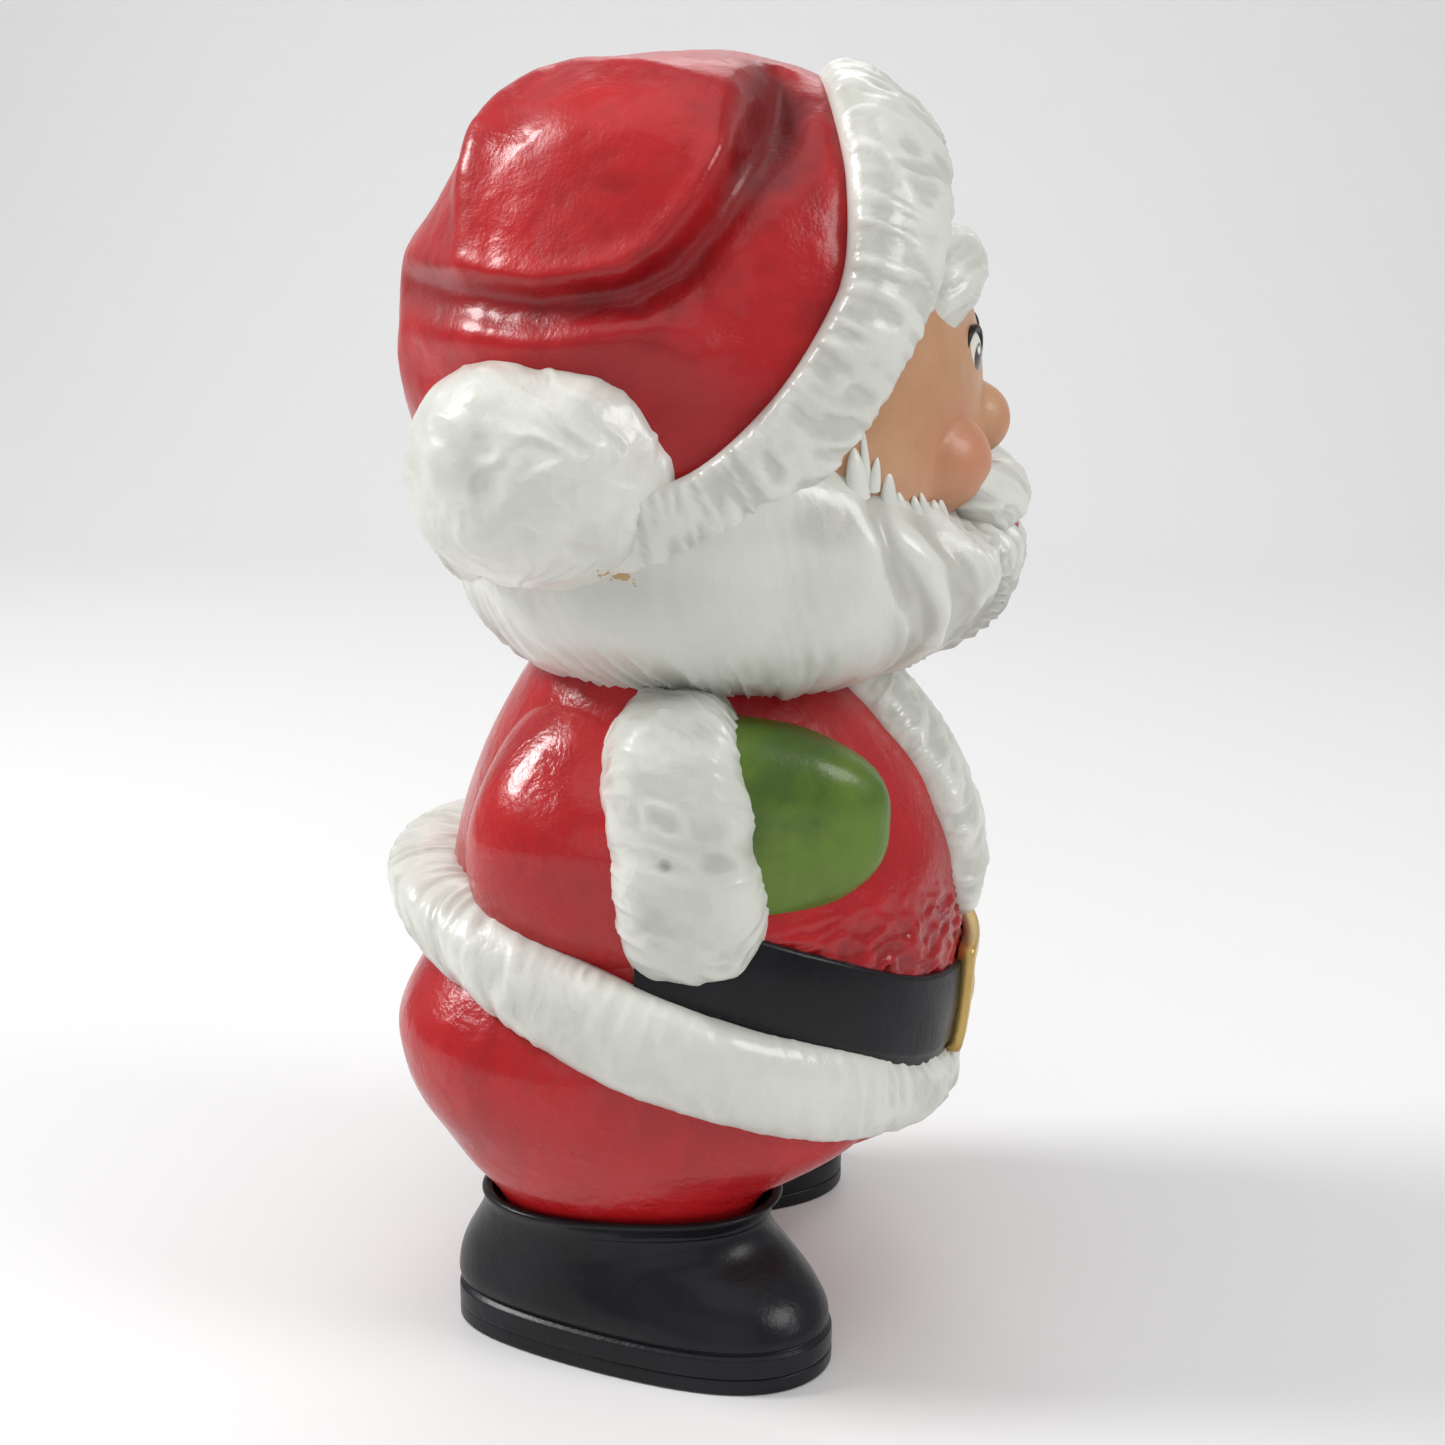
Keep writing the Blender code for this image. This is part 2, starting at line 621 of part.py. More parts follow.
def hat_aside(place):
    """How far the folded tip stands out sideways from the crown: flap, valley, roll and pocket."""
    right, forward, up = -place[..., 0], place[..., 1], place[..., 2]
    inside = beside_line(forward, up, FLAP_EDGE)
    lean = FLAP_LEAN * smooth_step(318.0, 352.0, up) * smooth_step(14.0, -12.0, forward)
    rise = (FLAP_RISE + lean) * smooth_step(-6.0, 4.0, inside)
    rise = rise - VALLEY_DEPTH * np.exp(-(((inside + 7.0) / 5.0) ** 2))
    roll = np.exp(-((beside_line(forward, up, ROLL_LINE) / ROLL_SPREAD) ** 2))
    rise = rise + ROLL_RISE * roll * smooth_step(5.0, -8.0, inside)
    away = ((forward - POCKET_PLACE[0]) / POCKET_SIZE[0]) ** 2
    away = away + ((up - POCKET_PLACE[1]) / POCKET_SIZE[1]) ** 2
    return (rise - POCKET_DEPTH * np.exp(-away)) * smooth_step(6.0, 26.0, right)


def hat(material, rows=27, around=46):
    """The crown, raised by the folded tip and tucked in ahead of the fur band."""
    way = directions(rows, around)
    reach = rounded_reach(way, HAT_RADII, HAT_BOXINESS)
    place = np.asarray(HEAD_CENTRE) + way * reach[..., None]
    line = band_line()[::-1]
    edge = np.interp(place[..., 2], line[:-1, 2], line[:-1, 1])
    ahead = np.clip((place[..., 1] - edge) / 12.0, 0.0, 1.0)
    reach = reach + hat_lift(place) - HAT_TUCK * ahead
    rings = np.asarray(HEAD_CENTRE) + way * reach[..., None]
    rings[..., 0] -= hat_aside(place)
    return skinned("hat", rings, material)


def band_line():
    """Middle line of the fur band on the left side, from the top of the head to the back."""
    return np.array(
        (
            (0.0, 44.5, 352.0),
            (22.0, 48.0, 346.0),
            (42.0, 51.0, 329.0),
            (55.5, 48.5, 306.0),
            (64.5, 39.0, 286.0),
            (70.0, 24.0, 266.0),
            (72.5, 4.0, 249.0),
            (70.0, -24.0, 239.0),
            (55.0, -52.0, 234.0),
            (30.0, -72.0, 230.0),
            (0.0, -80.0, 229.0),
        )
    )


def hat_band(material, count=46, around=9):
    """The fur band on its closed line round the face and the back of the head."""
    half = band_line()
    line = np.vstack([half, mirrored(half[-2:0:-1]), half[:1]])
    stations = np.concatenate([[0.0], np.cumsum(np.linalg.norm(np.diff(line, axis=0), axis=1))])
    middle = eased(stations, line, np.linspace(0.0, stations[-1], count, endpoint=False))
    outward, across = loop_frames(middle, HEAD_CENTRE)
    middle = middle - outward * BAND_PROUD * 0.4
    upper = smooth_step(300.0, 345.0, middle[:, 2])
    band = BAND_HALF_WIDTH + BAND_TOP_EXTRA * upper
    thickness = BAND_PROUD * (1.15 + 0.35 * smooth_step(265.0, 300.0, middle[:, 2]))
    rings = fur_ring(middle, outward, across, band, thickness, around)
    return skinned("hat_band_fur", rings, material, closed_loop=True)


def beard(material):
    """Hair and beard all round the lower head, in carved locks, dipping under the mouth."""

    def combed(offset):
        turn = np.arctan2(offset[..., 0], offset[..., 1])
        shaped = offset * (1.0 + 0.009 * np.cos(18 * turn))[..., None]
        up = offset[..., 2]
        ahead = np.clip((offset[..., 1] - 15.0) / 50.0, 0.0, 1.0)
        full = smooth_step(0.0, 20.0, up) * smooth_step(38.0, 26.0, up) * (1.0 - ahead)
        shaped[..., :2] *= (1.0 + BEARD_FULLNESS * full)[..., None]
        shaped[..., 2] *= np.where(up > 0.0, 1.0 - BEARD_DIP * ahead, 1.0)
        return shaped

    return ball("beard", BEARD_CENTRE, BEARD_RADII, material, 15, 36, 2.3, combed)


def face(skin, white):
    """Face, nose, cheeks, brows and moustache, set forward of the head's middle."""
    forms = [ball("face", FACE_CENTRE, FACE_RADII, skin, 12, 24, 2.3)]
    front = FACE_CENTRE[1] + FACE_RADII[1]
    nose_up = FACE_CENTRE[2] - 5.0
    nose_radii = (NOSE_RADIUS + 1.0, NOSE_RADIUS, NOSE_RADIUS)
    forms.append(ball("nose", (0.0, front - 2.5, nose_up), nose_radii, skin, 7, 12))
    for name, sign in (("left", 1.0), ("right", -1.0)):
        cheek = (sign * 27.0, front - 13.0, nose_up - 8.0)
        radii = (CHEEK_RADIUS + 1.0, CHEEK_RADIUS, CHEEK_RADIUS - 1.0)
        forms.append(ball("cheek_" + name, cheek, radii, skin, 7, 14))
        brow = (sign * 21.0, front - 14.0, nose_up + 39.0)
        radii = (20.0, BROW_RADIUS + 3.0, BROW_RADIUS + 1.0)

        def slant(offset, sign=sign):
            return turned(turned(offset, -sign * 26.0, 1), -sign * 24.0, 2)

        forms.append(ball("brow_" + name, brow, radii, white, 7, 14, 2.2, slant))
        wing = (sign * 17.0, front + 0.5, nose_up - 20.0)
        radii = (21.0, MOUSTACHE_RADIUS - 2.0, MOUSTACHE_RADIUS - 2.0)

        def droop(offset, sign=sign):
            return turned(turned(offset, -sign * 24.0, 2), sign * 16.0, 1)

        forms.append(ball("moustache_" + name, wing, radii, white, 9, 16, 2.2, droop))
    return forms


def pompom(material):
    def knobbly(offset):
        wave = np.sin(offset[..., 0] / 5.0) * np.sin(offset[..., 1] / 6.0 + 1.0) * np.sin(offset[..., 2] / 5.5)
        return offset * (1.0 + 0.02 * wave)[..., None]

    return ball("pompom", POMPOM_CENTRE, POMPOM_RADII, material, 11, 20, 2.2, knobbly)


def fuse(forms):
    """One casting: the hat joined to every other form by an exact union."""
    pressed = bpy.data.collections.new("pressed_on")
    bpy.context.scene.collection.children.link(pressed)
    core, others = forms[0], forms[1:]
    for form in others:
        pressed.objects.link(form)
    bpy.context.scene.collection.objects.link(core)
    core.name = "figurine"
    core.hide_render = False
    core.display_type = "TEXTURED"
    union = core.modifiers.new("fuse the forms", "BOOLEAN")
    union.operation = "UNION"
    union.solver = "EXACT"
    union.operand_type = "COLLECTION"
    union.collection = pressed
    union.material_mode = "TRANSFER"
    return core


def main():
    clear_scene()
    red = glaze("red_glaze", RED, 0.22)
    white = glaze("white_glaze", WHITE, 0.28)
    black = glaze("black_glaze", BLACK, 0.24)
    green = glaze("green_glaze", GREEN, 0.3)
    skin = glaze("skin_paint", SKIN, 0.42)
    gold = glaze("gold_paint", GOLD, 0.35, 0.7)
    forms = [hat(red), coat(red), hem(white), front_trim(white), belt(black)]
    forms += trousers(red) + boots(black) + buckle(gold) + arms(red, white, green)
    forms += [hat_band(white), pompom(white), beard(white)] + face(skin, white)
    fuse(forms)


main()
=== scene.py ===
import math

import bpy
import numpy as np
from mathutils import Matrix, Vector


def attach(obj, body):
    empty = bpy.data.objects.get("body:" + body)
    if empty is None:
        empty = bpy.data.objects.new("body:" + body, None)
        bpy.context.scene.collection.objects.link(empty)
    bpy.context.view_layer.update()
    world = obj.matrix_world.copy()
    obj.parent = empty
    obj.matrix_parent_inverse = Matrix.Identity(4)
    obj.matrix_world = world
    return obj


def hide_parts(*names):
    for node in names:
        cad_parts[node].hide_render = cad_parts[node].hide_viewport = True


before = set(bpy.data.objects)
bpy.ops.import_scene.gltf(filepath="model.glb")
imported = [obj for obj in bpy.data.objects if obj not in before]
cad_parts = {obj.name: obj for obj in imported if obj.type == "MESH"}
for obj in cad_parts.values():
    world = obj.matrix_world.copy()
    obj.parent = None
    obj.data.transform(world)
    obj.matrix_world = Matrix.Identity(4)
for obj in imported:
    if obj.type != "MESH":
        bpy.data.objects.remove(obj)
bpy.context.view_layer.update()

balanceForward = 6.379  # the frame's origin is this far behind the figure's own middle
quickScale = 1.0


# Grids and meshes


def toFrame(points):
    # millimetres (left, forward, up) become metres (x, y, z), with the figure facing -y
    placed = (np.asarray(points, float) + (0.0, balanceForward, 0.0)) * 0.001
    placed[..., 1] *= -1.0
    return placed


def count(number):
    return max(6, int(number * quickScale))


def addObject(name, data):
    made = bpy.data.objects.new(name, data)
    bpy.context.scene.collection.objects.link(made)
    return made


def surface(name, rings, material, closedLoop=False, grooveShade=None):
    # rings[i, j] is a point at ring i and angle j; each ring is closed, and an open run of
    # rings is capped by a fan to the middle of its first and last ring
    rings = np.asarray(rings, float)
    rows, around = rings.shape[:2]
    index = np.arange(rows * around).reshape(rows, around)
    if closedLoop:
        here, there = index, np.roll(index, -1, axis=0)
    else:
        here, there = index[:-1], index[1:]
    quads = np.stack((here, np.roll(here, -1, axis=1), np.roll(there, -1, axis=1), there), axis=-1)
    quads = quads.reshape(-1, 4)
    points = rings.reshape(-1, 3)
    # depth here is each point's painted shade for carved recesses, from none to full
    depth = np.zeros(len(points)) if grooveShade is None else np.asarray(grooveShade, float).reshape(-1)
    triangles = np.zeros((0, 3), int)
    if not closedLoop:
        points = np.vstack((points, rings[0].mean(0), rings[-1].mean(0)))
        depth = np.append(depth, (depth[:around].mean(), depth[-around:].mean()))
        first, last = len(points) - 2, len(points) - 1
        low, high = index[0], index[-1]
        lowFan = np.stack((np.full(around, first), np.roll(low, -1), low), axis=-1)
        highFan = np.stack((np.full(around, last), high, np.roll(high, -1)), axis=-1)
        triangles = np.vstack((lowFan, highFan))
    points = toFrame(points)
    # where the surface would enclose a negative volume, its faces are turned round
    split = np.vstack((quads[:, (0, 1, 2)], quads[:, (0, 2, 3)], triangles))
    if np.linalg.det(points[split]).sum() < 0.0:
        quads, triangles = quads[:, ::-1], triangles[:, ::-1]
    mesh = bpy.data.meshes.new(name)
    mesh.from_pydata(points.tolist(), [], quads.tolist() + triangles.tolist())
    # the painted shade mask goes on each point, for the glaze to darken recesses
    layer = mesh.attributes.new("grooveShade", "FLOAT", "POINT")
    layer.data.foreach_set("value", depth.astype(np.float32))
    mesh.materials.append(material)
    mesh.shade_smooth()
    mesh.update()
    piece = addObject(name, mesh)
    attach(piece, "root")
    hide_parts("figurine")
    return piece


def gridNormals(rings, closedLoop=False):
    # the cross product of the steps along the two grid directions, pointing out of each ring
    around = np.roll(rings, -1, axis=1) - np.roll(rings, 1, axis=1)
    if closedLoop:
        along = np.roll(rings, -1, axis=0) - np.roll(rings, 1, axis=0)
    else:
        along = np.gradient(rings, axis=0)
    normal = np.cross(along, around)
    normal /= np.maximum(np.linalg.norm(normal, axis=-1, keepdims=True), 1e-9)
    outward = rings - rings.mean(axis=1, keepdims=True)
    return normal * np.sign((normal * outward).sum())


def raised(rings, height, closedLoop=False):
    # the grid moved along its own normals by a height in millimetres
    return rings + gridNormals(rings, closedLoop) * height[..., None]


def mirrored(rings):
    # left and right swapped
    return rings * np.array((-1.0, 1.0, 1.0))


def pair(name, rings, material, grooveShade=None):
    # the same piece on the figure's left and, mirrored, on its right
    surface(name + "Left", rings, material, grooveShade=grooveShade)
    surface(name + "Right", mirrored(rings), material, grooveShade=grooveShade)


def furred(name, rings, height, shown=1.0, closedLoop=False, floor=-0.9, share=1.0):
    # white fur: carved by a height where it shows, with painted shade darkening it down to its grooves'
    # floor
    grooveShade = smoothStep(0.1, floor, height) * shown * share
    rings = raised(rings, height * shown, closedLoop)
    return surface(name, rings, whiteGlaze, closedLoop, grooveShade)


# Noise and carved strokes


def noise(x, y, z, seed=0.0):
    # lattice noise from -1 to 1: eight random corner heights blended by smooth steps
    spot = np.stack(np.broadcast_arrays(x, y, z), axis=-1).astype(float)
    cell = np.floor(spot)
    part = spot - cell
    ease = part * part * (3.0 - 2.0 * part)
    total = np.zeros(spot.shape[:-1])
    for i in (0, 1):
        for j in (0, 1):
            for k in (0, 1):
                corner = cell + (i, j, k)
                mixed = np.sin(corner @ (127.1, 311.7, 74.7) + seed * 19.3) * 43758.5453
                height = mixed - np.floor(mixed)
                weight = np.where(i, ease[..., 0], 1.0 - ease[..., 0])
                weight = weight * np.where(j, ease[..., 1], 1.0 - ease[..., 1])
                weight = weight * np.where(k, ease[..., 2], 1.0 - ease[..., 2])
                total += weight * height
    return total * 2.0 - 1.0


def lumpy(points, size, seed):
    # the noise at each point of a surface, with lumps of about this size
    return noise(*np.moveaxis(points / np.asarray(size), -1, 0), seed)


def strokes(along, across, length, pitch, seed):
    # carved locks from 0 to 1: ridges a pitch apart across the lock and drawn out along it,
    # bent sideways by a slow noise; the ridge is one less the size of a stretched noise
    bend = noise(along / (length * 1.4), across / (pitch * 6.0), seed, seed + 1.0)
    fine = noise(along / length, across / pitch + 1.5 * bend, seed * 2.0, seed)
    return 1.0 - np.minimum(1.0, np.abs(fine) * 2.1)


def furHeight(along, across, seed, length=11.0, pitch=3.6, coarse=0.9, fine=0.35):
    # two sizes of stroke together, in millimetres about zero
    big = strokes(along, across, length, pitch, seed) - 0.5
    small = strokes(along, across, length * 0.5, pitch * 0.45, seed + 7.0) - 0.5
    return coarse * big + fine * small


# Shape helpers


def directions(rows, around):
    # unit directions over a ball, from its bottom ring to its top ring
    tilt = np.linspace(-math.pi / 2, math.pi / 2, rows + 2)[1:-1, None]
    turn = np.linspace(0.0, 2 * math.pi, around, endpoint=False)[None, :]
    flat = np.cos(tilt)
    return np.stack((flat * np.sin(turn), flat * np.cos(turn), np.sin(tilt) + 0.0 * turn), axis=-1)


def roundedReach(way, radii, boxiness):
    # how far a rounded block reaches along each way: the inverse of its power norm
    return ((np.abs(way) / np.asarray(radii)) ** boxiness).sum(-1) ** (-1.0 / boxiness)


def unit(vectors):
    # the same directions, one long
    vectors = np.asarray(vectors, float)
    return vectors / np.linalg.norm(vectors, axis=-1, keepdims=True)


def turned(offset, degrees, axis):
    # offsets turned about the left (0), forward (1) or up (2) axis
    angle = math.radians(degrees)
    a, b = [i for i in range(3) if i != axis]
    out = np.array(offset, float)
    out[..., a] = offset[..., a] * math.cos(angle) - offset[..., b] * math.sin(angle)
    out[..., b] = offset[..., a] * math.sin(angle) + offset[..., b] * math.cos(angle)
    return out


def eased(stations, values, at):
    # a smooth curve through values at stations: cubic pieces with the slopes of their neighbours
    stations = np.asarray(stations, float)
    values = np.asarray(values, float)
    slope = np.gradient(values, stations, axis=0)
    at = np.clip(at, stations[0], stations[-1])
    k = np.clip(np.searchsorted(stations, at, side="right") - 1, 0, len(stations) - 2)
    span = stations[k + 1] - stations[k]
    t = (at - stations[k]) / span
    if values.ndim > 1:
        t, span = t[..., None], span[..., None]
    start = (1 + 2 * t) * (1 - t) ** 2 * values[k] + t * (1 - t) ** 2 * span * slope[k]
    end = t * t * (3 - 2 * t) * values[k + 1] + t * t * (t - 1) * span * slope[k + 1]
    return start + end


def smoothStep(low, high, value):
    # 0 at low, 1 at high and an S-curve between
    t = np.clip((value - low) / (high - low), 0.0, 1.0)
    return t * t * (3 - 2 * t)


def softMax(reaches, fillet):
    # the largest of several reaches, with a rounded corner of about this fillet between them
    stack = np.stack(reaches) / fillet
    top = stack.max(0)
    return (top + np.log(np.exp(stack - top).sum(0))) * fillet


def bell(value, width):
    # a bump from 0 to 1: the bell curve of a distance
    return np.exp(-((value / width) ** 2))


def ovalAway(forward, up, spot, size):
    # squared distance from a spot in the side view, measured in its own two sizes
    return ((forward - spot[0]) / size[0]) ** 2 + ((up - spot[1]) / size[1]) ** 2


def ballGrid(centre, radii, rows, around, boxiness=2.0):
    # a rounded block as offsets from its middle, and the middle
    way = directions(count(rows), count(around))
    return way * roundedReach(way, radii, boxiness)[..., None], np.asarray(centre, float)


def ovalRing(turn, wide, deep, power, proud=0.0):
    # left and forward parts of a rounded oval at angles from straight ahead
    sine, cosine = np.sin(turn), np.cos(turn)
    reach = ((np.abs(sine) / wide) ** power + (np.abs(cosine) / deep) ** power) ** (-1 / power) + proud
    return sine * reach, cosine * reach


def fullTurn(steps):
    # angles once round, from straight ahead to the left
    return np.linspace(0.0, 2 * math.pi, count(steps), endpoint=False)


def loopFrames(points, inside):
    # outward and across directions along a closed line about a middle point
    along = unit(np.roll(points, -1, axis=0) - np.roll(points, 1, axis=0))
    outward = points - np.asarray(inside)
    outward = unit(outward - along * (outward * along).sum(-1, keepdims=True))
    return outward, np.cross(along, outward)


def rollAlong(middles, outs, ups, halfBand, thickness, around, boxiness=2.4):
    # a rounded-block section carried along a line: half a band along ups, thickness along outs
    turn = np.linspace(0.0, 2 * math.pi, around, endpoint=False)[None, :]
    power = np.full(len(middles), boxiness)[:, None]
    reach = (np.abs(np.cos(turn)) ** power + np.abs(np.sin(turn)) ** power) ** (-1.0 / power)
    proud = thickness[:, None] * reach * np.cos(turn)
    across = halfBand[:, None] * reach * np.sin(turn)
    rings = middles[:, None] + outs[:, None] * proud[..., None] + ups[:, None] * across[..., None]
    return rings, across, proud


def arcLength(points):
    # the way along an open line to each of its points
    step = np.linalg.norm(np.diff(points, axis=0), axis=1)
    return np.concatenate(([0.0], np.cumsum(step)))


def loopArc(points):
    # the shorter way round a closed line to each point, so that fur meets where it closes
    arc = arcLength(points)
    return np.minimum(arc, arc[-1] - arc)[:, None]


# Materials


def link(tree, source, target):
    tree.links.new(source, target)


def setOrLink(tree, socket, value):
    # a number or colour is set on the socket, and another node's output is linked to it
    if isinstance(value, (int, float)):
        socket.default_value = value
    elif isinstance(value, tuple):
        socket.default_value = (*value[:3], 1.0)
    else:
        link(tree, value, socket)


def addNode(tree, kind, **inputs):
    # underscores in the names of inputs stand for spaces
    made = tree.nodes.new(kind)
    for name, value in inputs.items():
        setOrLink(tree, made.inputs[name.replace("_", " ")], value)
    return made


def mathNode(tree, operation, *values, clamp=False):
    made = tree.nodes.new("ShaderNodeMath")
    made.operation = operation
    made.use_clamp = clamp
    for socket, value in zip(made.inputs, values):
        setOrLink(tree, socket, value)
    return made.outputs[0]


def vectorNode(tree, operation, *values):
    made = tree.nodes.new("ShaderNodeVectorMath")
    made.operation = operation
    for socket, value in zip(made.inputs, values):
        link(tree, value, socket)
    return made.outputs["Value" if operation == "LENGTH" else "Vector"]


def mixColour(tree, share, first, second):
    made = tree.nodes.new("ShaderNodeMix")
    made.data_type = "RGBA"
    # inputs 6 and 7 are the node's two colours, and output 2 is its mixed one
    for socket, value in zip((made.inputs[0], made.inputs[6], made.inputs[7]), (share, first, second)):
        setOrLink(tree, socket, value)
    return made.outputs[2]


def noiseNode(tree, place, scale, detail, roughness=0.5, distortion=0.0):
    made = addNode(
        tree, "ShaderNodeTexNoise", Scale=scale, Detail=detail, Roughness=roughness, Distortion=distortion
    )
    link(tree, place, made.inputs["Vector"])
    return made.outputs["Fac"]


def rangeNode(tree, value, low, high, smooth=False, **ends):
    made = addNode(tree, "ShaderNodeMapRange", Value=value, From_Min=low, From_Max=high, **ends)
    made.interpolation_type = "SMOOTHSTEP" if smooth else "LINEAR"
    return made.outputs[0]


def objectPlace(tree):
    return tree.nodes.new("ShaderNodeTexCoord").outputs["Object"]


def newMaterial(name):
    material = bpy.data.materials.new(name)
    material.use_nodes = True
    return material, material.node_tree, material.node_tree.nodes["Principled BSDF"]


def newGroup(name, inputs, outputs):
    # a node group with named inputs and outputs
    group = bpy.data.node_groups.new(name, "ShaderNodeTree")
    for label, kind, value in inputs:
        socket = group.interface.new_socket(name=label, in_out="INPUT", socket_type="NodeSocket" + kind)
        socket.default_value = value
    for label, kind in outputs:
        group.interface.new_socket(name=label, in_out="OUTPUT", socket_type="NodeSocket" + kind)
    given = group.nodes.new("NodeGroupInput").outputs
    result = group.nodes.new("NodeGroupOutput").inputs
    return group, given, result, objectPlace(group)


def glazeGroup():
    # brushed paint under a clear glaze: two colours in soft patches and faint brush lines,
    # with painted shade that darkens its carved grooves, and a slightly rippled normal
    inputs = (
        ("Light Colour", "Color", (0.5, 0.5, 0.5, 1.0)),
        ("Deep Colour", "Color", (0.2, 0.2, 0.2, 1.0)),
        ("Groove Shade Colour", "Color", (0.1, 0.1, 0.1, 1.0)),
        ("Patch Scale", "Float", 22.0),
        ("Brush Scale", "Float", 260.0),
        ("Brush Share", "Float", 0.3),
        ("Groove Shade Share", "Float", 0.5),
        ("Ripple", "Float", 0.0004),
        ("Pitting", "Float", 0.00008),
        ("Roughness Low", "Float", 0.2),
        ("Roughness High", "Float", 0.4),
    )
    outputs = (("Colour", "Color"), ("Roughness", "Float"), ("Normal", "Vector"))
    group, given, result, place = newGroup("brushedGlaze", inputs, outputs)

    patches = noiseNode(group, place, given["Patch Scale"], 4.0, 0.6, 0.4)
    patchShare = rangeNode(group, patches, 0.34, 0.68, smooth=True)
    stretched = group.nodes.new("ShaderNodeMapping")
    stretched.inputs["Scale"].default_value = (1.0, 1.0, 0.16)
    stretched.inputs["Rotation"].default_value = (0.35, 0.2, 0.0)
    link(group, place, stretched.inputs["Vector"])
    lines = noiseNode(group, stretched.outputs["Vector"], given["Brush Scale"], 3.0, 0.65)
    share = mathNode(group, "MULTIPLY", mathNode(group, "SUBTRACT", lines, 0.5), given["Brush Share"])
    share = mathNode(group, "ADD", patchShare, mathNode(group, "MULTIPLY", share, 2.0), clamp=True)
    painted = mixColour(group, share, given["Light Colour"], given["Deep Colour"])
    # painted shade: the groove colour is mixed in by each point's shade mask, strongest down in carved
    # recesses
    grooved = group.nodes.new("ShaderNodeAttribute")
    grooved.attribute_name = "grooveShade"
    grooveShadeShare = mathNode(group, "MULTIPLY", grooved.outputs["Fac"], given["Groove Shade Share"], clamp=True)
    link(group, mixColour(group, grooveShadeShare, painted, given["Groove Shade Colour"]), result["Colour"])

    dull = noiseNode(group, place, 46.0, 3.0)
    ends = {"To_Min": given["Roughness Low"], "To_Max": given["Roughness High"]}
    link(group, rangeNode(group, dull, 0.35, 0.7, **ends), result["Roughness"])

    wave = noiseNode(group, place, 95.0, 4.0, 0.55, 0.3)
    pits = noiseNode(group, place, 900.0, 2.0)
    height = mathNode(group, "MULTIPLY", wave, given["Ripple"])
    height = mathNode(group, "ADD", height, mathNode(group, "MULTIPLY", pits, given["Pitting"]))
    lineDepth = mathNode(group, "MULTIPLY", given["Pitting"], 1.5)
    height = mathNode(group, "ADD", height, mathNode(group, "MULTIPLY", lines, lineDepth))
    bump = addNode(group, "ShaderNodeBump", Strength=1.0, Distance=1.0, Height=height)
    link(group, bump.outputs["Normal"], result["Normal"])
    return group


def chipGroup():
    # bare clay where the glaze has chipped: a ragged blot round one point of the piece
    inputs = (
        ("Spot", "Vector", (0.0, 0.0, 0.0)),
        ("Radius", "Float", 0.004),
        ("Stretch", "Vector", (1.0, 1.0, 1.0)),
    )
    group, given, result, place = newGroup("chippedSpot", inputs, (("Mask", "Float"),))
    away = vectorNode(group, "SUBTRACT", place, given["Spot"])
    size = vectorNode(group, "LENGTH", vectorNode(group, "MULTIPLY", away, given["Stretch"]))
    ragged = mathNode(group, "SUBTRACT", noiseNode(group, place, 420.0, 3.0), 0.5)
    far = mathNode(group, "ADD", size, mathNode(group, "MULTIPLY", ragged, 0.011))
    inner = mathNode(group, "MULTIPLY", given["Radius"], 0.8)
    link(group, rangeNode(group, far, given["Radius"], inner), result["Mask"])
    return group


glazeLook = glazeGroup()
chipLook = chipGroup()


def glazed(name, look, chips=()):
    # paint and glaze in the shared group, with a clear coat over it
    material, tree, shader = newMaterial(name)
    for socket, key, plain in (
        ("Coat Weight", "coat", 0.35),
        ("Coat Roughness", "coatRoughness", 0.12),
        ("Metallic", "metallic", 0.0),
        ("Specular IOR Level", "specular", 0.5),
    ):
        shader.inputs[socket].default_value = look.get(key, plain)
    paint = tree.nodes.new("ShaderNodeGroup")
    paint.node_tree = glazeLook
    for key, socket in (
        ("light", "Light Colour"),
        ("deep", "Deep Colour"),
        ("grooveShadeColour", "Groove Shade Colour"),
        ("patch", "Patch Scale"),
        ("brush", "Brush Scale"),
        ("brushShare", "Brush Share"),
        ("grooveShadeShare", "Groove Shade Share"),
        ("ripple", "Ripple"),
        ("pitting", "Pitting"),
        ("roughLow", "Roughness Low"),
        ("roughHigh", "Roughness High"),
    ):
        if key in look:
            setOrLink(tree, paint.inputs[socket], look[key])
    colour, rough = paint.outputs["Colour"], paint.outputs["Roughness"]
    for spot, radius, stretch, clay in chips:
        blot = tree.nodes.new("ShaderNodeGroup")
        blot.node_tree = chipLook
        blot.inputs["Spot"].default_value = tuple(toFrame(spot))
        blot.inputs["Radius"].default_value = radius
        blot.inputs["Stretch"].default_value = stretch
        colour = mixColour(tree, blot.outputs["Mask"], colour, clay)
        rough = mathNode(tree, "MAXIMUM", rough, mathNode(tree, "MULTIPLY", blot.outputs["Mask"], 0.7))
    link(tree, colour, shader.inputs["Base Color"])
    link(tree, rough, shader.inputs["Roughness"])
    link(tree, paint.outputs["Normal"], shader.inputs["Normal"])
    return material


# bare clay where the pompom meets the side hair: place, radius in metres, stretch and colour
clayChip = [((-72.0, -22.5, 233.0), 0.0024, (1.0, 0.6, 1.4), (0.50, 0.33, 0.16))]
